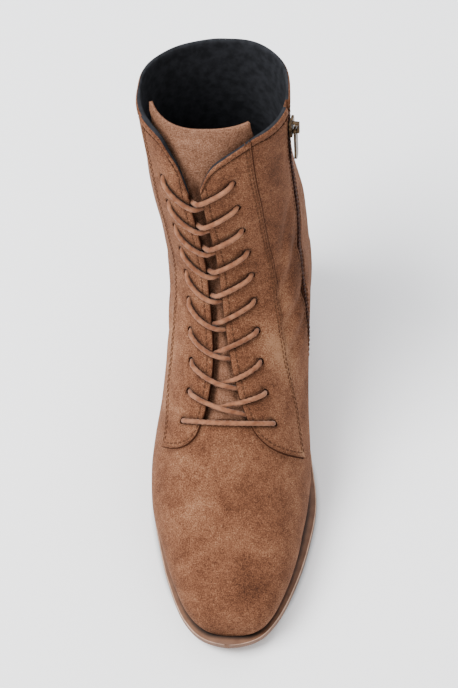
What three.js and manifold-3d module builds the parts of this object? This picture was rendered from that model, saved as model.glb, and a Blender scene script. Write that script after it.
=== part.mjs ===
// Lace-up ankle boot for the right foot, with a block heel and a side zip, in millimetres.
// The toe points to -Y, the inner side of the foot to +X and +Z is up.
// The origin is the middle of the heel's floor face.
import * as THREE from 'three';
import { mergeVertices } from 'three/addons/utils/BufferGeometryUtils.js';
import Module from 'manifold-3d';

const wasm = await Module();
wasm.setup();

// Driving sizes
const soleLength = 270;
const ballWidth = 96;
const instepHeight = 73;
const shaftHeight = 179;
const heelHeight = 42;
const soleThickness = 5;
const toeSpring = 7.5;
const upperWall = 2.2;
const facingStep = 1.3;
const seatGap = 0.32;
const lastMargin = 5.5;
const insoleThickness = 2.5;
const insoleGap = 0.8;
const liftThickness = 5;
const tongueThickness = 2;
const laceDiameter = 3;
const eyeletDiameter = 3.4;
const eyeletPairs = 10;
const lateralEyeletMargin = 15;
const medialEyeletMargin = 18.3;
const zipWidth = 5.2;
const zipGrooveDepth = 1.2;
const zipProud = 0.7;
const pullLength = 22;
const pullWidth = 5.5;
const pullThickness = 1.2;

// Where the sole turns up, lies flat and rises to the heel seat, in shares of the sole's length
const flatFront = 0.252;
const flatBack = 0.41;
const seatFront = 0.76;
const breast = 0.766;
// Roundness of the half sections below their widest points, by station
const lateralLower = [[0, 2.1], [0.6, 2.1], [0.69, 1.8], [0.745, 1.65], [0.8, 1.65], [0.88, 1.95], [1, 2.1]];
const medialLower = [[0, 2.1], [0.6, 2.1], [0.69, 2.15], [0.745, 2.25], [0.8, 2.2], [0.88, 2.1], [1, 2.1]];

// Sole outline seen from above: across in shares of the ball width, along in shares of the length
const toeTip = [0.005, 0];
const heelBack = [0.01, 0.985];
const medialOutline = [
  [0.173, 0.02], [0.273, 0.066], [0.368, 0.154], [0.432, 0.248], [0.464, 0.348],
  [0.421, 0.459], [0.346, 0.6], [0.338, 0.748], [0.345, 0.88], [0.214, 0.965],
];
const lateralOutline = [
  [-0.146, 0.973], [-0.281, 0.937], [-0.34, 0.84], [-0.394, 0.696], [-0.479, 0.552],
  [-0.524, 0.426], [-0.519, 0.322], [-0.459, 0.227], [-0.384, 0.141], [-0.274, 0.056],
  [-0.16, 0.014],
];

// Sections of the last from the toe to the back of the heel seat. Each plane stands on the
// feather line at 'along' and meets the top line at 'top', 'rise' above the seat there.
// Lateral, medial and crown are in shares of the ball width, widest of the section's height.
// Columns: along, top, rise, lateral, medial, widest, crown, power
const footSections = [
  [0.018, 0.018, 0, 0.005, 0.005, 0.45, 0.005, 2.2],
  [0.024, 0.024, 0.13, -0.124, 0.136, 0.45, 0.006, 2.2],
  [0.037, 0.037, 0.22, -0.191, 0.202, 0.44, 0.008, 2.2],
  [0.063, 0.063, 0.315, -0.259, 0.256, 0.42, 0.005, 2.2],
  [0.1, 0.1, 0.397, -0.315, 0.3, 0.4, -0.001, 2.2],
  [0.148, 0.148, 0.466, -0.373, 0.342, 0.38, -0.008, 2.15],
  [0.204, 0.204, 0.555, -0.427, 0.376, 0.34, -0.016, 2.1],
  [0.267, 0.267, 0.664, -0.49, 0.399, 0.3, -0.025, 2],
  [0.333, 0.333, 0.822, -0.524, 0.42, 0.27, -0.032, 1.9],
  [0.396, 0.385, 1, -0.533, 0.427, 0.26, -0.04, 1.85],
  [0.456, 0.433, 1.11, -0.521, 0.415, 0.27, -0.053, 1.8],
  [0.53, 0.487, 1.116, -0.49, 0.398, 0.3, -0.076, 1.8],
  [0.615, 0.538, 1.042, -0.47, 0.388, 0.33, -0.091, 1.85],
  [0.711, 0.581, 1.018, -0.46, 0.386, 0.36, -0.102, 1.95],
  [0.8, 0.6, 1.116, -0.464, 0.386, 0.36, -0.108, 2.1],
  [0.88, 0.612, 1.238, -0.474, 0.38, 0.37, -0.115, 2.2],
  [0.938, 0.62, 1.342, -0.487, 0.37, 0.4, -0.124, 2.3],
  [0.9646, 0.627, 1.445, -0.501, 0.36, 0.42, -0.135, 2.3],
];

// Sections of the shaft above the heel seat: back and front lines in shares of the sole's
// length, their heights above the seat in shares of the shaft's height
// Columns: back, backRise, front, frontRise, lateral, medial, widest, crown, power, seam
const shaftSections = [
  [0.984, 0.13, 0.638, 0.666, -0.518, 0.345, 0.45, -0.156, 2.3, 0.008],
  [0.984, 0.25, 0.647, 0.725, -0.535, 0.328, 0.47, -0.172, 2.3, 0],
  [0.968, 0.378, 0.657, 0.783, -0.547, 0.306, 0.48, -0.185, 2.3, -0.016],
  [0.956, 0.507, 0.665, 0.836, -0.555, 0.286, 0.48, -0.198, 2.3, -0.031],
  [0.957, 0.646, 0.676, 0.898, -0.565, 0.271, 0.48, -0.208, 2.3, -0.052],
  [0.97, 0.825, 0.687, 0.96, -0.579, 0.265, 0.48, -0.214, 2.3, -0.073],
  [0.988, 1, 0.698, 1.015, -0.59, 0.26, 0.48, -0.219, 2.3, -0.09],
];

// Edges and seams of the facings: station in shares of the front line's length, distance from
// the crown line in shares of the ball width
const lateralGap = [
  [0.414, -0.166], [0.457, -0.121], [0.51, -0.078], [0.56, -0.069],
  [0.65, -0.077], [0.75, -0.083], [0.87, -0.092], [1, -0.1],
];
const medialGap = [
  [0.414, 0.111], [0.456, 0.064], [0.52, 0.032], [0.59, 0.01],
  [0.65, -0.004], [0.75, -0.01], [0.87, -0.018], [1, -0.02],
];
const lateralSeam = [
  [0.395, -0.5], [0.44, -0.49], [0.51, -0.5], [0.56, -0.46],
  [0.62, -0.42], [0.7, -0.4], [0.85, -0.39], [1, -0.38],
];
const medialSeam = [
  [0.395, 0.566], [0.47, 0.542], [0.51, 0.49], [0.546, 0.432], [0.585, 0.395],
  [0.625, 0.364], [0.68, 0.345], [0.82, 0.326], [0.95, 0.3], [1, 0.29],
];
// Front edge of a facing from the gap, 0, to its outer seam, 1
const tabEdge = [
  [0, 0.414], [0.06, 0.4], [0.16, 0.386], [0.3, 0.377], [0.49, 0.3755], [0.72, 0.382], [1, 0.3955],
];
// Collar from the gap's edge to the back seam, by the distance from the gap
const medialCollar = [
  [0, 0.882], [0.056, 0.917], [0.1, 0.935], [0.167, 0.951], [0.235, 0.963], [0.31, 0.974],
  [0.385, 0.98], [0.62, 0.985], [1, 0.99],
];
const lateralCollar = [
  [0, 0.869], [0.01, 0.895], [0.031, 0.925], [0.076, 0.953], [0.125, 0.977], [0.2, 0.987],
  [0.31, 0.99], [1, 0.99],
];
// The zip's line on the inner side: along in shares of the sole's length, height above the
// heel seat in shares of the shaft's height
const zipLine = [
  [0.618, 0.095], [0.659, 0.228], [0.704, 0.34], [0.737, 0.45], [0.763, 0.603], [0.789, 0.797],
  [0.815, 1.02],
];
const zipHead = 0.975;
const sliderStation = 0.957;
const firstEyelet = 0.4275;
const lastEyelet = 0.898;
const tongueFoot = 0.385;
const tongueHead = 0.995;
const tongueHalfWidth = 0.34;

function readTable(table, x) {
  let k = 0;
  while (k < table.length - 2 && x > table[k + 1][0]) k += 1;
  const [x0, y0] = table[k];
  const [x1, y1] = table[k + 1];
  const t = Math.min(1, Math.max(0, (x - x0) / (x1 - x0)));
  const before = table[Math.max(0, k - 1)];
  const after = table[Math.min(table.length - 1, k + 2)];
  const m0 = k > 0 ? (y1 - before[1]) / (x1 - before[0]) : (y1 - y0) / (x1 - x0);
  const m1 = k < table.length - 2 ? (after[1] - y0) / (after[0] - x0) : (y1 - y0) / (x1 - x0);
  return hermite(t, x1 - x0, y0, y1, m0, m1);
}

function hermite(t, span, y0, y1, m0, m1) {
  const t2 = t * t;
  const t3 = t2 * t;
  return (2 * t3 - 3 * t2 + 1) * y0 + (t3 - 2 * t2 + t) * span * m0
    + (3 * t2 - 2 * t3) * y1 + (t3 - t2) * span * m1;
}

const lerp = (a, b, t) => a + (b - a) * t;
const clamp01 = (t) => Math.min(1, Math.max(0, t));
const ease = (t) => clamp01(t) ** 2 * (3 - 2 * clamp01(t));
const tiny = 1e-9;

// Underside and top of the sole along its length
function soleUnderside(along) {
  const spring = toeSpring * Math.max(0, 1 - along / (flatFront * soleLength)) ** 2;
  const rise = ease((along / soleLength - flatBack) / (seatFront - flatBack));
  return spring + heelHeight * rise;
}
const seatHeight = (along) => soleUnderside(along) + soleThickness + seatGap;
const heelSeat = heelHeight + soleThickness + seatGap;

// Outline of the sole and the same outline inset, as a lateral and a medial half
const outlineCurve = new THREE.CatmullRomCurve3(
  [toeTip, ...medialOutline, heelBack, ...lateralOutline].map(
    ([across, along]) => new THREE.Vector3(across * ballWidth, along * soleLength, 0),
  ),
  true,
  'centripetal',
);

const outlineCount = 360;
function outlineHalves(inset) {
  const count = outlineCount;
  const loop = outlineCurve.getPoints(count).slice(0, count);
  const moved = loop.map((p, k) => {
    const before = loop[(k + count - 1) % count];
    const along = new THREE.Vector3().subVectors(loop[(k + 1) % count], before);
    const inward = new THREE.Vector3(-along.y, along.x, 0).normalize();
    return p.clone().addScaledVector(inward, inset);
  });
  const ordered = (a, b) => a.y - b.y;
  const tip = moved.indexOf([...moved].sort(ordered)[0]);
  const back = moved.indexOf([...moved].sort(ordered)[count - 1]);
  const walk = (step) => {
    const half = [moved[tip]];
    for (let k = tip; k !== back; k = (k + step + count) % count) {
      half.push(moved[(k + step + count) % count]);
    }
    return half.map((p) => [p.y, p.x]);
  };
  return { medial: walk(1), lateral: walk(-1) };
}

function across(half, along) {
  let k = 0;
  while (k < half.length - 2 && along > half[k + 1][0]) k += 1;
  const span = half[k + 1][0] - half[k][0];
  const t = span > 0 ? clamp01((along - half[k][0]) / span) : 0;
  return lerp(half[k][1], half[k + 1][1], t);
}

const feather = outlineHalves(lastMargin);
const featherTip = feather.medial[0][0];
const [featherBack, featherMiddle] = feather.medial[feather.medial.length - 1];

// Sections in millimetres: foot or back point, front point, widest points, crown and back seam
const heelRow = footSections.length - 1;
const middle = 0.01;
const sections = [
  ...footSections.map(([along, top, rise, lateral, medial, widest, crown, power]) => {
    const foot = Math.min(Math.max(along * soleLength, featherTip), featherBack);
    const front = top === along ? foot : top * soleLength;
    return [
      foot, seatHeight(foot), front, seatHeight(foot) + rise * instepHeight,
      lateral * ballWidth, medial * ballWidth, widest, crown * ballWidth, power, featherMiddle,
    ];
  }),
  ...shaftSections.map(
    ([back, backRise, front, frontRise, lateral, medial, widest, crown, power, seam]) => [
      back * soleLength, heelSeat + backRise * shaftHeight,
      front * soleLength, heelSeat + frontRise * shaftHeight,
      lateral * ballWidth, medial * ballWidth, widest, crown * ballWidth, power, seam * ballWidth,
    ],
  ),
];

// Stations along the front line, and the slope of each column there
const stations = [0];
for (let k = 1; k < sections.length; k += 1) {
  const [, , y0, z0] = sections[k - 1];
  const [, , y1, z1] = sections[k];
  stations.push(stations[k - 1] + Math.hypot(y1 - y0, z1 - z0));
}
const frontLength = stations[stations.length - 1];
const heelStation = stations[heelRow] / frontLength;
const chord = (k, j) => (sections[k + 1][j] - sections[k][j]) / (stations[k + 1] - stations[k]);
// The foot point pauses at the back of the heel seat, where the feather edge turns up the back
const footPoint = 2;
const slopes = sections.map((row, k) => row.map((value, j) => {
  const last = sections.length - 1;
  if (k === heelRow && j < footPoint) return 0;
  if (k === last) return chord(last - 1, j);
  if (k === 0) return chord(0, j);
  const before = stations[k] - stations[k - 1];
  const after = stations[k + 1] - stations[k];
  return (chord(k - 1, j) * after + chord(k, j) * before) / (before + after);
}));

function sectionAt(q) {
  const s = clamp01(q) * frontLength;
  let k = 0;
  while (k < stations.length - 2 && s > stations[k + 1]) k += 1;
  const span = stations[k + 1] - stations[k];
  const t = (s - stations[k]) / span;
  return sections[k].map((value, j) => (
    hermite(t, span, value, sections[k + 1][j], slopes[k][j], slopes[k + 1][j])
  ));
}

// Station whose section stands on the feather line at a given place
const halvings = 40;
function stationOfFoot(along) {
  let low = 0;
  let high = heelStation;
  for (let k = 0; k < halvings; k += 1) {
    const mid = (low + high) / 2;
    if (sectionAt(mid)[0] < along) low = mid;
    else high = mid;
  }
  return (low + high) / 2;
}

// Station whose section passes through a point of the side view
function stationThrough(y, z) {
  let low = 0;
  let high = 1;
  for (let k = 0; k < halvings; k += 1) {
    const mid = (low + high) / 2;
    const [footY, backZ, frontY, frontZ] = sectionAt(mid);
    const footZ = mid < heelStation ? seatHeight(footY) : backZ;
    if ((frontY - footY) * (z - footZ) < (frontZ - footZ) * (y - footY)) low = mid;
    else high = mid;
  }
  return (low + high) / 2;
}

// One side of a section, from the crown down to the feather edge or the back seam
const quarterSteps = 30;
const sideCache = new Map();
function sideOf(q, side) {
  const key = `${side} ${q.toFixed(7)}`;
  if (sideCache.has(key)) return sideCache.get(key);
  const [footY, backZ, frontY, frontZ, lateral, medial, widest, crown, power, seam] = sectionAt(q);
  const onSeat = q < heelStation;
  const footZ = onSeat ? seatHeight(footY) : backZ;
  const end = onSeat ? across(side < 0 ? feather.lateral : feather.medial, footY) : seam;
  const height = Math.hypot(frontY - footY, frontZ - footZ);
  const unitY = height > 0 ? (frontY - footY) / height : 0;
  const unitZ = height > 0 ? (frontZ - footZ) / height : 1;
  const widestPoint = side < 0 ? lateral : medial;
  const wide = Math.abs(widestPoint - crown) < Math.abs(end - crown) ? end : widestPoint;
  const points = [];
  const put = (x, up) => points.push(new THREE.Vector3(x, footY + unitY * up, footZ + unitZ * up));
  for (let k = 0; k <= quarterSteps; k += 1) {
    const a = (Math.PI / 2) * (k / quarterSteps);
    put(
      crown + (wide - crown) * Math.sin(a) ** (2 / power),
      height * widest + height * (1 - widest) * Math.max(0, Math.cos(a)) ** (2 / power),
    );
  }
  const spread = wide - seam;
  const footSpread = end - seam;
  const lower = readTable(side < 0 ? lateralLower : medialLower, q);
  for (let k = 1; k <= quarterSteps; k += 1) {
    const a = (Math.PI / 2) * (k / quarterSteps);
    const narrowing = Math.max(0, Math.cos(a)) ** (2 / lower);
    const reach = Math.sqrt((spread * narrowing) ** 2 + footSpread ** 2 * (1 - narrowing ** 2));
    put(seam + Math.sign(spread) * reach, height * widest * (1 - Math.sin(a) ** (2 / lower)));
  }
  const lengths = [0];
  for (let k = 1; k < points.length; k += 1) {
    lengths.push(lengths[k - 1] + points[k].distanceTo(points[k - 1]));
  }
  const result = { points, lengths, length: lengths[lengths.length - 1] };
  sideCache.set(key, result);
  return result;
}

const halfLength = (q, side) => sideOf(q, side).length;
const shareAt = (q, w) => w / halfLength(q, w < 0 ? -1 : 1);

function surface(q, share) {
  const { points, lengths, length } = sideOf(q, share < 0 ? -1 : 1);
  const w = Math.min(1, Math.abs(share)) * length;
  let k = 0;
  while (k < lengths.length - 2 && w > lengths[k + 1]) k += 1;
  const span = lengths[k + 1] - lengths[k];
  return points[k].clone().lerp(points[k + 1], span > 0 ? (w - lengths[k]) / span : 0);
}

// Outward direction of the last's surface, away from its ends
const dq = 0.0015;
const ds = 0.012;
function outward(q, share) {
  const alongQ = surface(Math.min(1, q + dq), share).sub(surface(q - dq, share));
  const acrossQ = surface(q, Math.min(1, share + ds)).sub(surface(q, Math.max(-1, share - ds)));
  return acrossQ.cross(alongQ).normalize();
}

// At the feather edge the wall stands flat on the sole, square to the edge
function featherOutward(q, share) {
  if (q < dq) return new THREE.Vector3(0, -1, 0);
  if (q > heelStation - dq) return new THREE.Vector3(0, 1, 0);
  const along = surface(q + dq, share).sub(surface(q - dq, share));
  return new THREE.Vector3(along.y, -along.x, 0).multiplyScalar(Math.sign(share)).normalize();
}

// Mean outward direction of the cells round each point
function cellNormals(points, cells) {
  const normals = points.map(() => new THREE.Vector3());
  for (const cell of cells) {
    const [a, b, c, d] = cell.map((k) => points[k]);
    const normal = new THREE.Vector3().subVectors(c, a).cross(new THREE.Vector3().subVectors(d, b));
    for (const k of new Set(cell)) normals[k].add(normal);
  }
  return normals.map((normal) => normal.normalize());
}

const lifted = (q, share, offset) => surface(q, share).addScaledVector(outward(q, share), offset);

// The zip's place on the inner side, found where each section meets the zip's line
const zipTable = zipLine.map(([along, rise]) => [heelSeat + rise * shaftHeight, along * soleLength]);
const zipFoot = stationThrough(zipTable[0][1], zipTable[0][0]);
function zipShare(q) {
  const held = Math.max(q, zipFoot);
  const { points, lengths, length } = sideOf(held, 1);
  for (let k = 1; k < points.length; k += 1) {
    const before = points[k - 1].y - readTable(zipTable, points[k - 1].z);
    const after = points[k].y - readTable(zipTable, points[k].z);
    if (before < 0 && after >= 0) {
      return lerp(lengths[k - 1], lengths[k], before / (before - after)) / length;
    }
  }
  throw new Error(`The zip line misses the section at ${q}`);
}

// Closed solid between an outer and an inner sheet of the same cells
function sheetSolid(outer, inner, cells) {
  const count = outer.length;
  const triangles = [];
  for (const [a, b, c, d] of cells) triangles.push([a, b, c], [a, c, d]);
  const whole = triangles.filter(([a, b, c]) => a !== b && b !== c && c !== a);
  const edges = new Set(whole.flatMap(([a, b, c]) => [`${a} ${b}`, `${b} ${c}`, `${c} ${a}`]));
  const faces = whole.flatMap(([a, b, c]) => [[a, b, c], [c + count, b + count, a + count]]);
  for (const edge of edges) {
    const [u, v] = edge.split(' ').map(Number);
    if (!edges.has(`${v} ${u}`)) faces.push([v, u, u + count], [v, u + count, v + count]);
  }
  return closedGeometry([...outer, ...inner], faces);
}

// Geometry of a closed mesh with its faces pointing out
function closedGeometry(points, faces) {
  const geometry = new THREE.BufferGeometry();
  const values = points.flatMap((p) => [p.x, p.y, p.z]);
  geometry.setAttribute('position', new THREE.Float32BufferAttribute(values, 3));
  geometry.setIndex(faces.flat());
  if (signedVolume(geometry) < 0) geometry.setIndex(faces.map(([a, b, c]) => [a, c, b]).flat());
  return geometry;
}

function signedVolume(geometry) {
  const { position } = geometry.attributes;
  const at = (k) => new THREE.Vector3().fromBufferAttribute(position, geometry.index.getX(k));
  let sum = 0;
  for (let k = 0; k < geometry.index.count; k += 3) sum += at(k).dot(at(k + 1).cross(at(k + 2)));
  return sum / 6;
}

// Closed solid through rings of points, with flat ends
function loft(rings) {
  const size = rings[0].length;
  const points = rings.flat();
  const faces = [];
  for (let r = 0; r < rings.length - 1; r += 1) {
    for (let k = 0; k < size; k += 1) {
      const a = r * size + k;
      const b = r * size + ((k + 1) % size);
      faces.push([a, b, b + size], [a, b + size, a + size]);
    }
  }
  for (const [r, turn] of [[0, -1], [rings.length - 1, 1]]) {
    const middlePoint = rings[r].reduce((sum, p) => sum.add(p), new THREE.Vector3()).divideScalar(size);
    const centre = points.push(middlePoint) - 1;
    for (let k = 0; k < size; k += 1) {
      const a = r * size + k;
      const b = r * size + ((k + 1) % size);
      faces.push(turn > 0 ? [a, b, centre] : [b, a, centre]);
    }
  }
  return closedGeometry(points, faces);
}

// Closed meshes without normals, and their solids for joining and cutting
function bare(geometry) {
  const copy = geometry.clone();
  copy.deleteAttribute('normal');
  copy.deleteAttribute('uv');
  return mergeVertices(copy, 1e-3);
}

function toManifold(geometry) {
  const mesh = bare(geometry);
  return new wasm.Manifold(new wasm.Mesh({
    numProp: 3,
    vertProperties: Float32Array.from(mesh.attributes.position.array),
    triVerts: Uint32Array.from(mesh.index.array),
  }));
}

function fromManifold(solid) {
  const mesh = solid.getMesh();
  const geometry = new THREE.BufferGeometry();
  const values = Float32Array.from(mesh.vertProperties);
  geometry.setAttribute('position', new THREE.BufferAttribute(values, 3));
  geometry.setIndex(new THREE.BufferAttribute(Uint32Array.from(mesh.triVerts), 1));
  return geometry;
}

// The facings stand proud of the vamp, less so up the shaft where the leather is skived
const skiveStart = 0.5;
const skiveEnd = 0.7;
const skivedShare = 0.5;
const facingHeight = (q) => (
  facingStep * lerp(1, skivedShare, ease((q - skiveStart) / (skiveEnd - skiveStart)))
);

// Columns of the upper's grid at a station, as signed shares of the half sections
const ramp = 0.4;
const steps = (count) => Array.from({ length: count }, (_, k) => (k + 1) / (count + 1));
const lowerShares = [0, 0.08, 0.19, 0.33, 0.49, 0.66, 0.84];
const facingColumns = 4;
const gapColumns = 2;
const quarterColumns = 3;
const counterShares = [0.25, 0.5, 0.72, 0.9];
function columnsAt(q) {
  const gapL = readTable(lateralGap, q) * ballWidth;
  const gapM = readTable(medialGap, q) * ballWidth;
  const seamL = readTable(lateralSeam, q) * ballWidth;
  const seamM = readTable(medialSeam, q) * ballWidth;
  const lengthM = halfLength(q, 1);
  const zip = zipShare(q) * lengthM;
  const zipEdge = zipWidth / 2;
  const signed = (w) => shareAt(q, w);
  const outerL = signed(seamL - ramp);
  return [
    ...lowerShares.map((f) => lerp(-1, outerL, f)),
    outerL, signed(seamL + ramp),
    ...steps(facingColumns).map((f) => signed(lerp(seamL + ramp, gapL, f))),
    signed(gapL),
    ...steps(gapColumns).map((f) => signed(lerp(gapL, gapM, f))),
    signed(gapM),
    ...steps(facingColumns).map((f) => signed(lerp(gapM, seamM - ramp, f))),
    signed(seamM - ramp), signed(seamM + ramp),
    ...steps(quarterColumns).map((f) => signed(lerp(seamM + ramp, zip - zipEdge - ramp, f))),
    signed(zip - zipEdge - ramp), signed(zip - zipEdge),
    signed(zip + zipEdge), signed(zip + zipEdge + ramp),
    ...counterShares.map((f) => lerp(signed(zip + zipEdge + ramp), 1, f)), 1,
  ];
}
const firstFacing = lowerShares.length + 1;
const lateralEdge = firstFacing + facingColumns + 1;
const medialEdge = lateralEdge + gapColumns + 1;
const lastFacing = medialEdge + facingColumns + 1;
const grooveFirst = lastFacing + quarterColumns + 3;

// Front edge and collar of each column
function edgeStation(c) {
  if (c > lateralEdge && c < medialEdge) return tabEdge[0][1];
  if (c < firstFacing || c > lastFacing) return tabEdge[tabEdge.length - 1][1];
  const f = c <= lateralEdge
    ? (lateralEdge - c) / (lateralEdge - firstFacing)
    : (c - medialEdge) / (lastFacing - medialEdge);
  return readTable(tabEdge, f);
}

const collarProbe = 0.95;
function collarStation(c) {
  const shares = columnsAt(collarProbe);
  const side = c <= lateralEdge ? -1 : 1;
  const lengthOf = (share) => share * halfLength(collarProbe, share < 0 ? -1 : 1);
  const edge = lengthOf(shares[side < 0 ? lateralEdge : medialEdge]);
  const distance = Math.abs(lengthOf(shares[c]) - edge) / ballWidth;
  return readTable(side < 0 ? lateralCollar : medialCollar, Math.min(distance, 1));
}

// Rows of the upper's grid: vamp, foot behind the facings' front edge, and shaft
const vampRows = [0, 0.025, 0.065, 0.12, 0.18, 0.26, 0.36, 0.47, 0.59, 0.71, 0.83, 0.93];
const footRows = 21;
const shaftRows = 9;
function makeUpper() {
  const columnCount = columnsAt(heelStation).length;
  const edgeFoot = tabEdge[tabEdge.length - 1][1];
  const edgeRamp = (2 * ramp) / frontLength;
  const collarBack = collarStation(0);
  const heelShare = (heelStation - edgeFoot - edgeRamp) / (collarBack - edgeFoot - edgeRamp);
  const footStart = sectionAt(edgeFoot + edgeRamp)[0];
  // Rows stand closer together along the feather edge towards the heel, where it turns
  const footShare = (f) => {
    const along = lerp(footStart, featherBack, Math.sin((Math.PI / 2) * f));
    return (stationOfFoot(along) - edgeFoot - edgeRamp) / (heelStation - edgeFoot - edgeRamp);
  };
  const rows = [
    ...vampRows.map((t) => (c) => edgeStation(c) * t),
    (c) => edgeStation(c),
    (c) => edgeStation(c) + edgeRamp,
    ...steps(footRows - 1).map((f) => (c) => (
      lerp(edgeStation(c) + edgeRamp, collarStation(c), heelShare * footShare(f))
    )),
    (c) => lerp(edgeStation(c) + edgeRamp, collarStation(c), heelShare),
    ...steps(shaftRows - 1).map((f) => (c) => (
      lerp(edgeStation(c) + edgeRamp, collarStation(c), lerp(heelShare, 1, f))
    )),
    (c) => collarStation(c),
  ];
  const throatRow = vampRows.length;
  const points = [];
  const offsets = [];
  const fixed = new Map();
  const ids = rows.map((row, r) => {
    const line = [];
    for (let c = 0; c < columnCount; c += 1) {
      const q = row(c);
      const atEnd = c === 0 || c === columnCount - 1;
      const welded = r === 0 || (c === columnCount - 1 && q > heelStation - tiny);
      if (welded && c > 0) {
        line.push(line[0]);
        continue;
      }
      const share = columnsAt(Math.max(q, edgeStation(c)))[c];
      const facing = r > throatRow && c >= firstFacing && c <= lastFacing;
      const groove = q >= zipFoot && (c === grooveFirst || c === grooveFirst + 1);
      const id = points.push(surface(q, share)) - 1;
      offsets.push((facing ? facingHeight(q) : 0) - (groove ? zipGrooveDepth : 0));
      if (atEnd && q < heelStation + tiny) fixed.set(id, featherOutward(q, share));
      line.push(id);
    }
    return line;
  });
  const cells = [];
  const openCells = [];
  for (let r = 0; r < rows.length - 1; r += 1) {
    for (let c = 0; c < columnCount - 1; c += 1) {
      const cell = [ids[r][c], ids[r][c + 1], ids[r + 1][c + 1], ids[r + 1][c]];
      const inGap = r >= throatRow && c >= lateralEdge && c < medialEdge;
      (inGap ? openCells : cells).push(cell);
    }
  }
  const normals = cellNormals(points, [...cells, ...openCells]);
  for (const [id, normal] of fixed) normals[id] = normal;
  const order = [...new Set(cells.flat())].sort((a, b) => a - b);
  const renumber = new Map(order.map((id, k) => [id, k]));
  return sheetSolid(
    order.map((id) => points[id].clone().addScaledVector(normals[id], offsets[id])),
    order.map((id) => points[id].clone().addScaledVector(normals[id], -upperWall)),
    cells.map((cell) => cell.map((id) => renumber.get(id))),
  );
}

// Eyelets: one row on each facing, a margin in from the gap's edge
const eyeletStation = (k) => lerp(firstEyelet, lastEyelet, k / (eyeletPairs - 1));
const gapEdge = (q, side) => readTable(side < 0 ? lateralGap : medialGap, q) * ballWidth;
const eyeletMargin = (side) => (side < 0 ? lateralEyeletMargin : medialEyeletMargin);
const eyeletPlace = (q, side) => gapEdge(q, side) + side * eyeletMargin(side);

const eyeletSides = 6;
function eyeletPunch(k, side) {
  const q = eyeletStation(k);
  const share = shareAt(q, eyeletPlace(q, side));
  const radius = eyeletDiameter / 2;
  const punch = new THREE.CylinderGeometry(radius, radius, 4 * upperWall, eyeletSides);
  const upright = new THREE.Vector3(0, 1, 0);
  punch.applyQuaternion(new THREE.Quaternion().setFromUnitVectors(upright, outward(q, share)));
  const place = surface(q, share);
  return punch.translate(place.x, place.y, place.z);
}

function punchedUpper() {
  let solid = toManifold(makeUpper());
  for (let k = 0; k < eyeletPairs; k += 1) {
    for (const side of [-1, 1]) solid = solid.subtract(toManifold(eyeletPunch(k, side)));
  }
  return fromManifold(solid);
}

// Sole plate: flat tread under the ball, toe spring, shank rise and a softened edge
const plateCount = 42;
const plateLead = 0.4;
const soleSoftening = 0.8;
const insoleSoftening = 0.5;
const plateStations = Array.from({ length: plateCount }, (_, k) => (
  soleLength * heelBack[1] * (1 - Math.cos((Math.PI * (k + 1)) / (plateCount + 1))) / 2
));

function plateRings(halves, bottom, top, soften) {
  const first = halves.medial[0][0] + plateLead;
  const last = halves.medial[halves.medial.length - 1][0] - plateLead;
  const between = plateStations.filter((y) => y > first + plateLead && y < last - plateLead);
  return [first, ...between, last].map((along) => {
    const left = across(halves.lateral, along);
    const right = across(halves.medial, along);
    const low = bottom(along);
    const high = top(along);
    const inset = Math.min(soften, (right - left) / 6);
    const profile = [
      [left + inset, low], [left, low + soften], [left, high - soften], [left + inset, high],
      [right - inset, high], [right, high - soften], [right, low + soften], [right - inset, low],
    ];
    return profile.map(([x, z]) => new THREE.Vector3(x, along, z));
  });
}

function makeOutsole() {
  const top = (along) => soleUnderside(along) + soleThickness;
  return loft(plateRings(outlineHalves(0), soleUnderside, top, soleSoftening));
}

function makeInsole() {
  const halves = outlineHalves(lastMargin + upperWall + insoleGap);
  const top = (along) => seatHeight(along) + insoleThickness;
  return loft(plateRings(halves, seatHeight, top, insoleSoftening));
}

// Heel block and its rubber lift share one tapering outline
const heelInset = 0.8;
const heelHalves = outlineHalves(heelInset);
const heelEnd = heelHalves.medial[heelHalves.medial.length - 1][0];
const heelFront = breast * soleLength;
const heelFoot = 0.93;
const breastHollow = 0.05;
const heelSteps = 12;
const heelCentre = new THREE.Vector3(middle * ballWidth, lerp(heelFront, heelEnd, 0.5), 0);

function heelRing(z) {
  const scale = lerp(heelFoot, 1, z / heelHeight);
  const half = (side, k) => {
    const along = lerp(heelFront, heelEnd, Math.sin((Math.PI / 2) * (k / heelSteps)));
    return [across(side, along), along];
  };
  const hollow = breastHollow * (heelEnd - heelFront);
  const points = [];
  for (let k = 0; k <= heelSteps; k += 1) points.push(half(heelHalves.medial, k));
  for (let k = heelSteps - 1; k >= 0; k -= 1) points.push(half(heelHalves.lateral, k));
  for (const f of [0.25, 0.5, 0.75]) {
    const [x0] = half(heelHalves.lateral, 0);
    const [x1] = half(heelHalves.medial, 0);
    points.push([lerp(x0, x1, f), heelFront + hollow * Math.sin(Math.PI * f)]);
  }
  return points.map(([x, y]) => new THREE.Vector3(
    heelCentre.x + (x - heelCentre.x) * scale, heelCentre.y + (y - heelCentre.y) * scale, z,
  ));
}

const blockLevels = [liftThickness + seatGap, heelHeight / 2, heelHeight - seatGap];
const makeHeelBlock = () => loft(blockLevels.map(heelRing));
const makeHeelLift = () => loft([0, liftThickness].map(heelRing));

// Tongue: under the facings with room for the lace, its foot tucked under the vamp
const laceRoom = laceDiameter + 2 * seatGap;
const tongueTuck = 0.07;
const tongueRounding = 0.25;
const roundedFrom = 0.93;
const tongueRows = 20;
const tongueColumns = 6;
function tongueDepth(q) {
  return upperWall + seatGap + (laceRoom - seatGap) * ease((q - tongueFoot) / tongueTuck);
}

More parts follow.
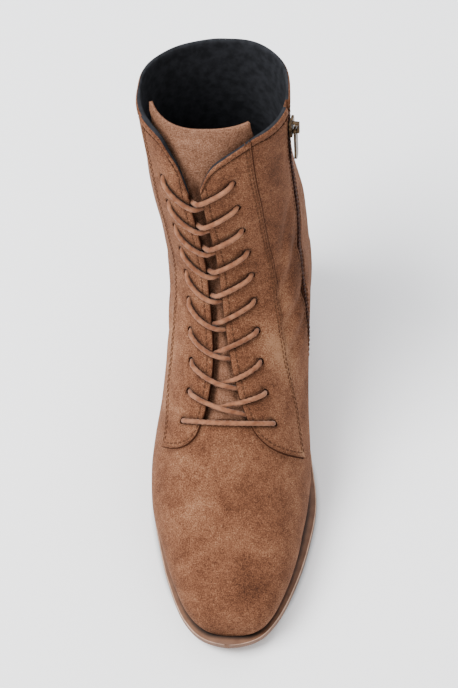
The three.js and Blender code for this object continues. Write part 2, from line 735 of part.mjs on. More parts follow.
function makeTongue() {
  const outer = [];
  const inner = [];
  const cells = [];
  for (let r = 0; r <= tongueRows; r += 1) {
    const q = lerp(tongueFoot, tongueHead, r / tongueRows);
    const centre = (gapEdge(q, -1) + gapEdge(q, 1)) / 2;
    const narrowing = tongueRounding * ease((q - roundedFrom) / (tongueHead - roundedFrom));
    const half = tongueHalfWidth * ballWidth * (1 - narrowing);
    for (let c = 0; c <= tongueColumns; c += 1) {
      const share = shareAt(q, centre + half * lerp(-1, 1, c / tongueColumns));
      outer.push(lifted(q, share, -tongueDepth(q)));
      inner.push(lifted(q, share, -tongueDepth(q) - tongueThickness));
      if (r === tongueRows || c === tongueColumns) continue;
      const a = r * (tongueColumns + 1) + c;
      cells.push([a, a + 1, a + tongueColumns + 2, a + tongueColumns + 1]);
    }
  }
  return sheetSolid(outer, inner, cells);
}

// Laces: a bar over the lowest pair, then strands that cross in the gap
const laceRadius = laceDiameter / 2;
const laceSides = 6;
const laceClearance = 0.5;
const lateralSag = 1.9;
const medialSag = 1.35;
const laceStop = 1.5;
const laceDrop = laceDiameter;
const lateralDip = 0.006;
const strandSteps = 8;
const barSteps = 12;
const overFacing = (q) => facingHeight(q) + laceClearance + laceRadius;

function laceTube(points, count) {
  const outline = new THREE.Shape(Array.from({ length: laceSides }, (_, k) => {
    const a = (2 * Math.PI * k) / laceSides;
    return new THREE.Vector2(laceRadius * Math.cos(a), laceRadius * Math.sin(a));
  }));
  const path = new THREE.CatmullRomCurve3(points, false, 'centripetal');
  return new THREE.ExtrudeGeometry(outline, { steps: count, bevelEnabled: false, extrudePath: path });
}

function strand(k, side) {
  const start = eyeletStation(k);
  const besideBar = (laceDiameter + laceClearance) / frontLength;
  const dip = side < 0 ? lateralDip : 0;
  const finish = eyeletStation(k - 1) + (k === 1 ? besideBar : -dip);
  const from = eyeletPlace(start, side);
  const to = gapEdge(finish, -side) + side * laceStop;
  const edgeShare = (gapEdge(finish, side) - from) / (to - from);
  const marks = [0, edgeShare / 3, (2 * edgeShare) / 3, edgeShare, (1 + edgeShare) / 2, 1];
  return marks.map((t) => {
    const q = lerp(start, finish, 1 - (1 - t) ** (side < 0 ? lateralSag : medialSag));
    const drop = ease((t - edgeShare) / (1 - edgeShare)) * laceDrop;
    return lifted(q, shareAt(q, lerp(from, to, t)), overFacing(q) - drop);
  });
}

function makeCrossing(k) {
  const strands = [-1, 1].map((side) => toManifold(laceTube(strand(k, side), strandSteps)));
  return fromManifold(strands[0].add(strands[1]));
}

function makeBar() {
  const q = eyeletStation(0);
  const from = eyeletPlace(q, -1);
  const to = eyeletPlace(q, 1);
  const points = [0, ...steps(5), 1].map((t) => (
    lifted(q, shareAt(q, lerp(from, to, t)), overFacing(q))
  ));
  return laceTube(points, barSteps);
}

// Zip: closed rows of teeth in a groove, with the slider at the top
const zipFootRoom = 4;
const zipRings = 22;
function makeZipChain() {
  const half = zipWidth / 2 - seatGap;
  const start = zipFoot + zipFootRoom / frontLength;
  const rings = Array.from({ length: zipRings }, (_, i) => {
    const q = lerp(start, zipHead, i / (zipRings - 1));
    const centre = zipShare(q) * halfLength(q, 1);
    const share = (w) => shareAt(q, w);
    const low = seatGap - zipGrooveDepth;
    return [
      lifted(q, share(centre - half), low), lifted(q, share(centre + half), low),
      lifted(q, share(centre + half), zipProud), lifted(q, share(centre - half), zipProud),
    ];
  });
  return loft(rings);
}

const sliderPoint = surface(sliderStation, zipShare(sliderStation));
const sliderOut = outward(sliderStation, zipShare(sliderStation));
const belowSlider = sliderStation - 0.02;
const sliderDown = surface(belowSlider, zipShare(belowSlider)).sub(sliderPoint);
sliderDown.addScaledVector(sliderOut, -sliderDown.dot(sliderOut)).normalize();
const sliderAcross = new THREE.Vector3().crossVectors(sliderDown, sliderOut);
const sliderFrame = new THREE.Matrix4()
  .makeBasis(sliderAcross, sliderDown, sliderOut).setPosition(sliderPoint);

// In the slider's frame X runs across the zip, Y down it and Z away from the boot
const plateLow = zipProud + seatGap;
const plateDepth = 1.4;
const plateHigh = plateLow + plateDepth;
const pinLift = 1.3;
const pinHeight = plateHigh + pinLift;
const bridgeReach = 3.4;
const bridgeRise = 2.2;
const bridgeTop = pinHeight + bridgeRise;
const bridgeWidth = 2;
const bridgeBar = 1;
const bridgeRoot = 0.2;
const sliderOutline = [[-3.6, -5.2], [3.6, -5.2], [4, -1], [2.9, 5.2], [-2.9, 5.2], [-4, -1]];

function block(x0, x1, y0, y1, z0, z1) {
  const box = new THREE.BoxGeometry(x1 - x0, y1 - y0, z1 - z0);
  return box.translate((x0 + x1) / 2, (y0 + y1) / 2, (z0 + z1) / 2);
}

function makeSlider() {
  const outline = new THREE.Shape(sliderOutline.map(([x, y]) => new THREE.Vector2(x, y)));
  const depth = plateHigh - plateLow;
  const plate = new THREE.ExtrudeGeometry(outline, { depth, bevelEnabled: false });
  plate.translate(0, 0, plateLow);
  const half = bridgeWidth / 2;
  const low = plateHigh - bridgeRoot;
  const inside = bridgeReach - bridgeBar;
  const pieces = [
    block(-half, half, -bridgeReach, bridgeReach, bridgeTop - bridgeBar, bridgeTop),
    block(-half, half, inside, bridgeReach, low, bridgeTop),
    block(-half, half, -bridgeReach, -inside, low, bridgeTop),
  ];
  const solid = pieces.reduce((sum, piece) => sum.add(toManifold(piece)), toManifold(plate));
  return fromManifold(solid).applyMatrix4(sliderFrame);
}

// Pull tab: its top bar passes under the slider's bridge and is the pin that it swings on
const pullCorner = 0.8;
const windowSideGap = 0.5;
const windowEndGap = 0.6;
function makePull() {
  const half = pullWidth / 2;
  const pinHalf = pullThickness / 2;
  const outline = new THREE.Shape();
  outline.moveTo(pullCorner - half, -pinHalf);
  outline.lineTo(half - pullCorner, -pinHalf);
  outline.lineTo(half, pinHalf);
  outline.lineTo(half, pullLength - half);
  outline.absarc(0, pullLength - half, half, 0, Math.PI, false);
  outline.lineTo(-half, pinHalf);
  outline.closePath();
  const plate = new THREE.ExtrudeGeometry(outline, {
    depth: pullThickness, bevelEnabled: false, curveSegments: 8,
  });
  const windowHalf = bridgeWidth / 2 + windowSideGap;
  const windowEnd = Math.hypot(bridgeReach, bridgeTop - pinHeight) + windowEndGap;
  const window = block(
    -windowHalf, windowHalf, pinHalf, windowEnd, -pullThickness, 2 * pullThickness,
  );
  const solid = toManifold(plate).subtract(toManifold(window));
  return fromManifold(solid).translate(0, 0, pinHeight - pinHalf).applyMatrix4(sliderFrame);
}

// Materials
const suede = new THREE.MeshStandardMaterial({ color: 0x9a6a4c, roughness: 0.95 });
const cord = new THREE.MeshStandardMaterial({ color: 0xc0937a, roughness: 0.9 });
const rubber = new THREE.MeshStandardMaterial({ color: 0x84614b, roughness: 0.75 });
const board = new THREE.MeshStandardMaterial({ color: 0x5c4a40, roughness: 0.9 });
const tape = new THREE.MeshStandardMaterial({ color: 0x3a2a22, roughness: 0.6 });
const brass = new THREE.MeshStandardMaterial({ color: 0x5a4a34, roughness: 0.45, metalness: 1 });

const boot = new THREE.Group();
function add(name, geometry, material) {
  const mesh = new THREE.Mesh(geometry, material);
  mesh.name = name;
  mesh.position.set(-heelCentre.x, -heelCentre.y, 0);
  boot.add(mesh);
}

add('outsole', makeOutsole(), rubber);
add('heel_block', makeHeelBlock(), suede);
add('heel_lift', makeHeelLift(), rubber);
add('upper', punchedUpper(), suede);
add('tongue', makeTongue(), suede);
add('insole', makeInsole(), board);
add('lace_bar', bare(makeBar()), cord);
for (let k = 1; k < eyeletPairs; k += 1) {
  add(`lace_crossing_${String(k).padStart(2, '0')}`, makeCrossing(k), cord);
}
add('zip_teeth', makeZipChain(), tape);
add('zip_slider', makeSlider(), brass);
add('zip_pull', makePull(), brass);

export default boot;
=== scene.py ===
import math

import bpy
import numpy as np
from mathutils import Matrix, Vector


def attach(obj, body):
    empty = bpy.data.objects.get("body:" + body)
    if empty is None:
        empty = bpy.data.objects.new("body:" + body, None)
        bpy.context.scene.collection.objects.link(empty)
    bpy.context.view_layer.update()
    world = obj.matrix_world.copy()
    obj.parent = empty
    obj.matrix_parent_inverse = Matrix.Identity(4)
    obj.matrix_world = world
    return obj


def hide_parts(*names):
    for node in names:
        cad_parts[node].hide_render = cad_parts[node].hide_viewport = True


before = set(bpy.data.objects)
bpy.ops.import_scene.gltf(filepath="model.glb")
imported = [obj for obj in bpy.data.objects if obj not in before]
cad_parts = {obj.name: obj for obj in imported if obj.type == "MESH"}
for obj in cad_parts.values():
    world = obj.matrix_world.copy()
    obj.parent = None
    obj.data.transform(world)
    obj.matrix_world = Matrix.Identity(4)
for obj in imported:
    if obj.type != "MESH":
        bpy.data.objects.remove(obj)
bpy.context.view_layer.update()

# Driving sizes of the boot in millimetres, as in the part
SOLE_LENGTH = 270
BALL_WIDTH = 96
INSTEP_HEIGHT = 73
SHAFT_HEIGHT = 179
HEEL_HEIGHT = 42
SOLE_THICKNESS = 5
TOE_SPRING = 7.5
UPPER_WALL = 2.2
FACING_STEP = 1.3
SEAT_GAP = 0.32
LAST_MARGIN = 5.5
LIFT_THICKNESS = 5
TONGUE_THICKNESS = 2
LACE_DIAMETER = 3
EYELET_DIAMETER = 3.4
EYELET_PAIRS = 10
LATERAL_EYELET_MARGIN = 15
MEDIAL_EYELET_MARGIN = 18.3
ZIP_WIDTH = 5.2
ZIP_GROOVE_DEPTH = 1.2

# Shares of the sole's length: toe spring, flat tread, heel seat and heel breast
FLAT_FRONT = 0.252
FLAT_BACK = 0.41
SEAT_FRONT = 0.76
BREAST = 0.766
MIDDLE = 0.01

# Sole outline from above: across in shares of the ball width, along in shares of the length.
# Up to the waist it follows points of the photograph put through its camera.
TOE_TIP = (0.005, 0)
HEEL_BACK = (0.01, 0.985)
MEDIAL_OUTLINE = (
    (0.173, 0.02), (0.273, 0.066), (0.368, 0.154), (0.432, 0.248), (0.464, 0.348),
    (0.421, 0.459), (0.346, 0.6), (0.338, 0.748), (0.345, 0.88), (0.214, 0.965),
)
LATERAL_OUTLINE = (
    (-0.146, 0.973), (-0.281, 0.937), (-0.34, 0.84), (-0.394, 0.696), (-0.479, 0.552),
    (-0.524, 0.426), (-0.519, 0.322), (-0.459, 0.227), (-0.384, 0.141), (-0.274, 0.056),
    (-0.16, 0.014),
)

# Sections of the last: along, top, rise, lateral, medial, widest, crown, power
FOOT_SECTIONS = (
    (0.018, 0.018, 0, 0.005, 0.005, 0.45, 0.005, 2.2),
    (0.024, 0.024, 0.13, -0.124, 0.136, 0.45, 0.006, 2.2),
    (0.037, 0.037, 0.22, -0.191, 0.202, 0.44, 0.008, 2.2),
    (0.063, 0.063, 0.315, -0.259, 0.256, 0.42, 0.005, 2.2),
    (0.1, 0.1, 0.397, -0.315, 0.3, 0.4, -0.001, 2.2),
    (0.148, 0.148, 0.466, -0.373, 0.342, 0.38, -0.008, 2.15),
    (0.204, 0.204, 0.555, -0.427, 0.376, 0.34, -0.016, 2.1),
    (0.267, 0.267, 0.664, -0.49, 0.399, 0.3, -0.025, 2),
    (0.333, 0.333, 0.822, -0.524, 0.42, 0.27, -0.032, 1.9),
    (0.396, 0.385, 1, -0.533, 0.427, 0.26, -0.04, 1.85),
    (0.456, 0.433, 1.11, -0.521, 0.415, 0.27, -0.053, 1.8),
    (0.53, 0.487, 1.116, -0.49, 0.398, 0.3, -0.076, 1.8),
    (0.615, 0.538, 1.042, -0.47, 0.388, 0.33, -0.091, 1.85),
    (0.711, 0.581, 1.018, -0.46, 0.386, 0.36, -0.102, 1.95),
    (0.8, 0.6, 1.116, -0.464, 0.386, 0.36, -0.108, 2.1),
    (0.88, 0.612, 1.238, -0.474, 0.38, 0.37, -0.115, 2.2),
    (0.938, 0.62, 1.342, -0.487, 0.37, 0.4, -0.124, 2.3),
    (0.9646, 0.627, 1.445, -0.501, 0.36, 0.42, -0.135, 2.3),
)
# Sections of the shaft: back, back rise, front, front rise, lateral, medial, widest, crown,
# power, seam
SHAFT_SECTIONS = (
    (0.984, 0.13, 0.638, 0.666, -0.518, 0.345, 0.45, -0.156, 2.3, 0.008),
    (0.984, 0.25, 0.647, 0.725, -0.535, 0.328, 0.47, -0.172, 2.3, 0),
    (0.968, 0.378, 0.657, 0.783, -0.547, 0.306, 0.48, -0.185, 2.3, -0.016),
    (0.956, 0.507, 0.665, 0.836, -0.555, 0.286, 0.48, -0.198, 2.3, -0.031),
    (0.957, 0.646, 0.676, 0.898, -0.565, 0.271, 0.48, -0.208, 2.3, -0.052),
    (0.97, 0.825, 0.687, 0.96, -0.579, 0.265, 0.48, -0.214, 2.3, -0.073),
    (0.988, 1, 0.698, 1.015, -0.59, 0.26, 0.48, -0.219, 2.3, -0.09),
)

# Roundness of the half sections below their widest points, by station
LATERAL_LOWER = (
    (0, 2.1), (0.6, 2.1), (0.69, 1.8), (0.745, 1.65), (0.8, 1.65), (0.88, 1.95), (1, 2.1),
)
MEDIAL_LOWER = (
    (0, 2.1), (0.6, 2.1), (0.69, 2.15), (0.745, 2.25), (0.8, 2.2), (0.88, 2.1), (1, 2.1),
)

# Edges and seams of the facings: station, distance from the crown line in ball widths. These,
# the collar's front and the zip's upper part follow points of the photograph put through its
# camera.
LATERAL_GAP = (
    (0.414, -0.166), (0.457, -0.121), (0.51, -0.078), (0.56, -0.069),
    (0.65, -0.077), (0.75, -0.083), (0.87, -0.092), (1, -0.1),
)
MEDIAL_GAP = (
    (0.414, 0.111), (0.456, 0.064), (0.52, 0.032), (0.59, 0.01),
    (0.65, -0.004), (0.75, -0.01), (0.87, -0.018), (1, -0.02),
)
LATERAL_SEAM = (
    (0.395, -0.5), (0.44, -0.49), (0.51, -0.5), (0.56, -0.46),
    (0.62, -0.42), (0.7, -0.4), (0.85, -0.39), (1, -0.38),
)
MEDIAL_SEAM = (
    (0.395, 0.566), (0.47, 0.542), (0.51, 0.49), (0.546, 0.432), (0.585, 0.395),
    (0.625, 0.364), (0.68, 0.345), (0.82, 0.326), (0.95, 0.3), (1, 0.29),
)
TAB_EDGE = (
    (0, 0.414), (0.06, 0.4), (0.16, 0.386), (0.3, 0.377), (0.49, 0.3755), (0.72, 0.382), (1, 0.3955),
)
MEDIAL_COLLAR = (
    (0, 0.882), (0.056, 0.917), (0.1, 0.935), (0.167, 0.951), (0.235, 0.963), (0.31, 0.974),
    (0.385, 0.98), (0.62, 0.985), (1, 0.99),
)
LATERAL_COLLAR = (
    (0, 0.869), (0.01, 0.895), (0.031, 0.925), (0.076, 0.953), (0.125, 0.977), (0.2, 0.987),
    (0.31, 0.99), (1, 0.99),
)
# The zip's line: along in shares of the sole's length, height in shares of the shaft's height
ZIP_LINE = (
    (0.618, 0.095), (0.659, 0.228), (0.704, 0.34), (0.737, 0.45), (0.763, 0.603), (0.789, 0.797),
    (0.815, 1.02),
)
ZIP_HEAD = 0.975
FIRST_EYELET = 0.4275
LAST_EYELET = 0.898
TONGUE_FOOT = 0.385
TONGUE_HEAD = 0.995
TONGUE_HALF_WIDTH = 0.34

# The photograph's frame and the camera that took it, in the part's frame
PHOTO_WIDTH = 458
CAMERA_PLACE = (0.0773, -0.7267, 1.0988)
CAMERA_TILT = math.radians(60)
CAMERA_TURN = math.radians(2.7)
FOCAL_PIXELS = 2413.49
SENSOR_WIDTH = 36
BOOT_MIDDLE = (118, 238)
VIEW_SCALE = 0.88
PHOTO_MIDDLE = (229, 344)


def linear(code):
    """Turns an sRGB hex colour into linear red, green, blue and alpha."""
    channels = [int(code[k:k + 2], 16) / 255 for k in (0, 2, 4)]
    return (*(c / 12.92 if c <= 0.04045 else ((c + 0.055) / 1.055) ** 2.4 for c in channels), 1)


# Camera: the photograph's place and angle, aimed at the middle of the one boot
def make_camera():
    aim_x = (BOOT_MIDDLE[0] - PHOTO_MIDDLE[0]) / FOCAL_PIXELS
    aim_y = (PHOTO_MIDDLE[1] - BOOT_MIDDLE[1]) / FOCAL_PIXELS
    right = Vector((math.cos(CAMERA_TURN), math.sin(CAMERA_TURN), 0))
    level = Vector((-math.sin(CAMERA_TURN), math.cos(CAMERA_TURN), 0))
    forward = level * math.cos(CAMERA_TILT) - Vector((0, 0, math.sin(CAMERA_TILT)))
    up = right.cross(forward)
    aim = (forward + right * aim_x + up * aim_y).normalized()
    side = aim.cross(up).normalized()
    top = side.cross(aim)
    data = bpy.data.cameras.new("camera")
    data.sensor_fit = "HORIZONTAL"
    data.sensor_width = SENSOR_WIDTH
    data.lens = FOCAL_PIXELS * VIEW_SCALE / PHOTO_WIDTH * SENSOR_WIDTH
    data.clip_start = 0.05
    data.clip_end = 20
    camera = bpy.data.objects.new("camera", data)
    axes = Matrix((side, top, -aim)).transposed().to_4x4()
    camera.matrix_world = Matrix.Translation(Vector(CAMERA_PLACE)) @ axes
    bpy.context.collection.objects.link(camera)
    bpy.context.scene.camera = camera


make_camera()


# Reading of the tables
def hermite(t, span, y0, y1, m0, m1):
    t2 = t * t
    t3 = t2 * t
    return ((2 * t3 - 3 * t2 + 1) * y0 + (t3 - 2 * t2 + t) * span * m0
            + (3 * t2 - 2 * t3) * y1 + (t3 - t2) * span * m1)


def read_table(table, x):
    table = np.asarray(table, float)
    x = np.asarray(x, float)
    xs, ys = table[:, 0], table[:, 1]
    last = len(xs) - 1
    k = np.clip(np.searchsorted(xs, x, side="left") - 1, 0, last - 1)
    slope = (ys[1:] - ys[:-1]) / (xs[1:] - xs[:-1])
    inner = (ys[2:] - ys[:-2]) / (xs[2:] - xs[:-2])
    slopes = np.concatenate([[slope[0]], inner, [slope[-1]]])
    span = xs[k + 1] - xs[k]
    t = np.clip((x - xs[k]) / span, 0, 1)
    return hermite(t, span, ys[k], ys[k + 1], slopes[k], slopes[k + 1])


def lerp(a, b, t):
    return a + (b - a) * t


def ease(t):
    t = np.clip(t, 0, 1)
    return t * t * (3 - 2 * t)


def sole_underside(along):
    along = np.asarray(along, float)
    spring = TOE_SPRING * np.maximum(0, 1 - along / (FLAT_FRONT * SOLE_LENGTH)) ** 2
    return spring + HEEL_HEIGHT * ease((along / SOLE_LENGTH - FLAT_BACK) / (SEAT_FRONT - FLAT_BACK))


def seat_height(along):
    return sole_underside(along) + SOLE_THICKNESS + SEAT_GAP


HEEL_SEAT = HEEL_HEIGHT + SOLE_THICKNESS + SEAT_GAP


# Sole outline: a closed centripetal curve through the outline's points
OUTLINE_STEPS = 40


def outline_loop():
    shares = np.array([TOE_TIP, *MEDIAL_OUTLINE, HEEL_BACK, *LATERAL_OUTLINE])
    points = shares * (BALL_WIDTH, SOLE_LENGTH)
    count = len(points)
    loop = []
    for k in range(count):
        p0, p1, p2, p3 = (points[(k + j) % count] for j in (-1, 0, 1, 2))
        d0, d1, d2 = (math.sqrt(np.hypot(*(b - a))) for a, b in ((p0, p1), (p1, p2), (p2, p3)))
        t1 = ((p1 - p0) / d0 - (p2 - p0) / (d0 + d1) + (p2 - p1) / d1) * d1
        t2 = ((p2 - p1) / d1 - (p3 - p1) / (d1 + d2) + (p3 - p2) / d2) * d1
        for t in np.arange(OUTLINE_STEPS) / OUTLINE_STEPS:
            loop.append(hermite(t, 1, p1, p2, t1, t2))
    return np.array(loop)


def outline_halves(inset):
    """Gives the medial and the lateral half of the inset outline as (along, across) rows."""
    loop = outline_loop()
    tangent = np.roll(loop, -1, 0) - np.roll(loop, 1, 0)
    inward = np.stack([-tangent[:, 1], tangent[:, 0]], 1)
    moved = loop + inset * inward / np.linalg.norm(inward, axis=1, keepdims=True)
    tip, back = int(np.argmin(moved[:, 1])), int(np.argmax(moved[:, 1]))
    count = len(moved)
    medial = [moved[(tip + k) % count] for k in range((back - tip) % count + 1)]
    lateral = [moved[(tip - k) % count] for k in range((tip - back) % count + 1)]
    return {side: np.array(half)[:, ::-1] for side, half in ((1, medial), (-1, lateral))}


def across(half, along):
    return np.interp(along, half[:, 0], half[:, 1])


FEATHER = outline_halves(LAST_MARGIN)


# Sections of the last in millimetres, with the slope of each column at each station
def section_rows():
    rows = []
    tip, back = FEATHER[1][0, 0], FEATHER[1][-1, 0]
    for along, top, rise, lateral, medial, widest, crown, power in FOOT_SECTIONS:
        foot = min(max(along * SOLE_LENGTH, tip), back)
        front = foot if top == along else top * SOLE_LENGTH
        seat = float(seat_height(foot))
        rows.append((foot, seat, front, seat + rise * INSTEP_HEIGHT, lateral * BALL_WIDTH,
                     medial * BALL_WIDTH, widest, crown * BALL_WIDTH, power, FEATHER[1][-1, 1]))
    for row in SHAFT_SECTIONS:
        back, back_rise, front, front_rise, lateral, medial, widest, crown, power, seam = row
        rows.append((back * SOLE_LENGTH, HEEL_SEAT + back_rise * SHAFT_HEIGHT,
                     front * SOLE_LENGTH, HEEL_SEAT + front_rise * SHAFT_HEIGHT,
                     lateral * BALL_WIDTH, medial * BALL_WIDTH, widest, crown * BALL_WIDTH,
                     power, seam * BALL_WIDTH))
    return np.array(rows)


SECTIONS = section_rows()
HEEL_ROW = len(FOOT_SECTIONS) - 1
STATIONS = np.concatenate([[0], np.cumsum(np.hypot(*np.diff(SECTIONS[:, 2:4], axis=0).T))])
FRONT_LENGTH = STATIONS[-1]
HEEL_STATION = STATIONS[HEEL_ROW] / FRONT_LENGTH


def section_slopes():
    spans = np.diff(STATIONS)[:, None]
    chords = np.diff(SECTIONS, axis=0) / spans
    inner = (chords[:-1] * spans[1:] + chords[1:] * spans[:-1]) / (spans[:-1] + spans[1:])
    slopes = np.vstack([chords[:1], inner, chords[-1:]])
    slopes[HEEL_ROW, :2] = 0
    return slopes


SLOPES = section_slopes()


def section_at(q):
    s = np.clip(q, 0, 1) * FRONT_LENGTH
    k = np.clip(np.searchsorted(STATIONS, s, side="left") - 1, 0, len(STATIONS) - 2)
    span = (STATIONS[k + 1] - STATIONS[k])[:, None]
    t = (s - STATIONS[k])[:, None] / span
    return hermite(t, span, SECTIONS[k], SECTIONS[k + 1], SLOPES[k], SLOPES[k + 1])


# Lookup grid of the last's surface: stations by shares of each half section
GRID_STATIONS = 1400
GRID_SHARES = 160
QUARTER_STEPS = 60


def surface_grid(side):
    q = np.linspace(0, 1, GRID_STATIONS + 1)
    columns = section_at(q).T
    foot_y, back_z, front_y, front_z, lateral, medial, widest, crown, power, seam = columns
    on_seat = q < HEEL_STATION
    foot_z = np.where(on_seat, seat_height(foot_y), back_z)
    end = np.where(on_seat, across(FEATHER[side], foot_y), seam)
    height = np.hypot(front_y - foot_y, front_z - foot_z)
    safe = np.maximum(height, 1e-9)
    unit_y = np.where(height > 0, (front_y - foot_y) / safe, 0)
    unit_z = np.where(height > 0, (front_z - foot_z) / safe, 1)
    widest_point = lateral if side < 0 else medial
    wide = np.where(np.abs(widest_point - crown) < np.abs(end - crown), end, widest_point)
    a = np.linspace(0, math.pi / 2, QUARTER_STEPS + 1)[None, :]
    col = (lambda v: v[:, None])
    sin_a, cos_a = np.sin(a), np.maximum(0, np.cos(a))
    x_high = col(crown) + col(wide - crown) * sin_a ** (2 / col(power))
    up_high = col(height * widest) + col(height * (1 - widest)) * cos_a ** (2 / col(power))
    spread, foot_spread = wide - seam, end - seam
    lower = col(read_table(LATERAL_LOWER if side < 0 else MEDIAL_LOWER, q))
    narrowing = cos_a ** (2 / lower)
    reach = np.sqrt((col(spread) * narrowing) ** 2 + col(foot_spread) ** 2 * (1 - narrowing ** 2))
    x_low = col(seam) + np.sign(col(spread)) * reach
    up_low = col(height * widest) * (1 - sin_a ** (2 / lower))
    x = np.concatenate([x_high, x_low[:, 1:]], 1)
    up = np.concatenate([up_high, up_low[:, 1:]], 1)
    points = np.stack([x, col(foot_y) + col(unit_y) * up, col(foot_z) + col(unit_z) * up], 2)
    steps = np.linalg.norm(np.diff(points, axis=1), axis=2)
    lengths = np.concatenate([np.zeros((len(q), 1)), np.cumsum(steps, 1)], 1)
    shares = np.linspace(0, 1, GRID_SHARES + 1)
    grid = np.empty((len(q), GRID_SHARES + 1, 3))
    for i in range(len(q)):
        total = max(lengths[i, -1], 1e-9)
        for j in range(3):
            grid[i, :, j] = np.interp(shares * total, lengths[i], points[i, :, j])
    return grid, lengths[:, -1]


GRIDS = {side: surface_grid(side) for side in (-1, 1)}


def half_length(q, side):
    return np.interp(np.asarray(q, float) * GRID_STATIONS, np.arange(GRID_STATIONS + 1), GRIDS[side][1])


def side_length(q, w):
    """Length of the half section on the side where w, or a signed share, lies."""
    return np.where(w < 0, half_length(q, -1), half_length(q, 1))


def share_at(q, w):
    w = np.asarray(w, float)
    return w / side_length(q, w)


def surface(q, share):
    """Points of the last's surface at stations q and signed shares of the half sections."""
    q, share = np.broadcast_arrays(np.asarray(q, float), np.asarray(share, float))
    row = np.clip(q, 0, 1) * GRID_STATIONS
    i = np.minimum(row.astype(int), GRID_STATIONS - 1)
    column = np.clip(np.abs(share), 0, 1) * GRID_SHARES
    j = np.minimum(column.astype(int), GRID_SHARES - 1)
    fi, fj = (row - i)[..., None], (column - j)[..., None]
    result = np.empty((*q.shape, 3))
    for side in (-1, 1):
        grid = GRIDS[side][0]
        here = share < 0 if side < 0 else share >= 0
        a, b = grid[i, j], grid[i, j + 1]
        c, d = grid[i + 1, j], grid[i + 1, j + 1]
        result[here] = lerp(lerp(a, b, fj), lerp(c, d, fj), fi)[here]
    return result


def station_through(y, z):
    """Station whose section passes through a point of the side view."""
    low, high = 0.0, 1.0
    for _ in range(40):
        mid = (low + high) / 2
        foot_y, back_z, front_y, front_z = section_at(np.array([mid]))[0, :4]
        foot_z = seat_height(foot_y) if mid < HEEL_STATION else back_z
        if (front_y - foot_y) * (z - foot_z) < (front_z - foot_z) * (y - foot_y):
            low = mid
        else:
            high = mid
    return (low + high) / 2


ZIP_FOOT = station_through(ZIP_LINE[0][0] * SOLE_LENGTH, HEEL_SEAT + ZIP_LINE[0][1] * SHAFT_HEIGHT)


def unit(v):
    return v / np.maximum(np.linalg.norm(v, axis=-1, keepdims=True), 1e-12)


STATION_STEP = 0.0015
SHARE_STEP = 0.012


def outward(q, share):
    """Directions square to the surface, from short steps along it and across it."""
    q, share = np.broadcast_arrays(np.asarray(q, float), np.asarray(share, float))
    on, back = np.minimum(1, q + STATION_STEP), np.maximum(0, q - STATION_STEP)
    more, less = np.minimum(1, share + SHARE_STEP), np.maximum(-1, share - SHARE_STEP)
    along = surface(on, share) - surface(back, share)
    side = surface(q, more) - surface(q, less)
    return unit(np.cross(side, along))


def lifted(q, w, offset):
    """Points at station q and distance w from the crown line, raised by offset."""
    share = share_at(q, w)
    return surface(q, share) + outward(q, share) * np.asarray(offset, float)[..., None]


def gap_edge(q, side):
    return read_table(LATERAL_GAP if side < 0 else MEDIAL_GAP, q) * BALL_WIDTH


def facing_seam(q, side):
    return read_table(LATERAL_SEAM if side < 0 else MEDIAL_SEAM, q) * BALL_WIDTH


SKIVE_START = 0.5
SKIVE_END = 0.7
SKIVED_SHARE = 0.5


def facing_height(q):
    return FACING_STEP * lerp(1, SKIVED_SHARE, ease((q - SKIVE_START) / (SKIVE_END - SKIVE_START)))


def zip_distances():
    """Distance of the zip's line from the crown line at each station of the grid."""
    heights = [(HEEL_SEAT + rise * SHAFT_HEIGHT, along * SOLE_LENGTH) for along, rise in ZIP_LINE]
    grid, lengths = GRIDS[1]
    distances = np.full(GRID_STATIONS + 1, np.nan)
    for i in range(int(ZIP_FOOT * GRID_STATIONS) - 2, GRID_STATIONS + 1):
        off = grid[i, :, 1] - read_table(heights, grid[i, :, 2])
        k = int(np.argmax((off[:-1] < 0) & (off[1:] >= 0)))
        distances[i] = (k + off[k] / (off[k] - off[k + 1])) / GRID_SHARES * lengths[i]
    return distances


ZIP_DISTANCES = zip_distances()


def zip_distance(q):
    """Distance along the section; in front of the zip's foot its share is held."""
    q = np.asarray(q, float)
    held = np.maximum(q, ZIP_FOOT)
    distance = np.interp(held * GRID_STATIONS, np.arange(GRID_STATIONS + 1), ZIP_DISTANCES)
    return distance / half_length(held, 1) * half_length(q, 1)


# Boot coordinates to the frame's metres
BOOT_BODY = "boot"
HEEL_MARGIN = 0.8
HEEL_HALVES = outline_halves(HEEL_MARGIN)
HEEL_FRONT = BREAST * SOLE_LENGTH
HEEL_END = HEEL_HALVES[1][-1, 0]
HEEL_CENTRE = np.array([MIDDLE * BALL_WIDTH, (HEEL_FRONT + HEEL_END) / 2, 0])
METRE = 0.001


def add_piece(name, points, faces, materials, body=BOOT_BODY, face_slots=None):
    """Makes a smooth mesh from boot coordinates in millimetres and rides it on a body."""
    mesh = bpy.data.meshes.new(name)
    mesh.from_pydata(((np.asarray(points) - HEEL_CENTRE) * METRE).tolist(), [], faces)
    for material in materials:
        mesh.materials.append(material)
    if face_slots is not None:
        mesh.polygons.foreach_set("material_index", face_slots)
    mesh.polygons.foreach_set("use_smooth", [True] * len(mesh.polygons))
    mesh.update()
    piece = bpy.data.objects.new(name, mesh)
    bpy.context.collection.objects.link(piece)
    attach(piece, body)
    return piece


def grid_cells(number):
    """The four corners of every cell of a grid of point numbers."""
    return np.stack([number[:-1, :-1], number[:-1, 1:], number[1:, 1:], number[1:, :-1]], -1)


def tube_faces(rings, around):
    """Faces of a tube of rings with the same number of points, with its two ends last."""
    number = np.arange(rings * around).reshape(rings, around)
    turned = np.roll(number, -1, 1)
    sides = np.stack([number[:-1], turned[:-1], turned[1:], number[1:]], -1).reshape(-1, 4)
    return sides.tolist() + [number[0, ::-1].tolist(), number[-1].tolist()]


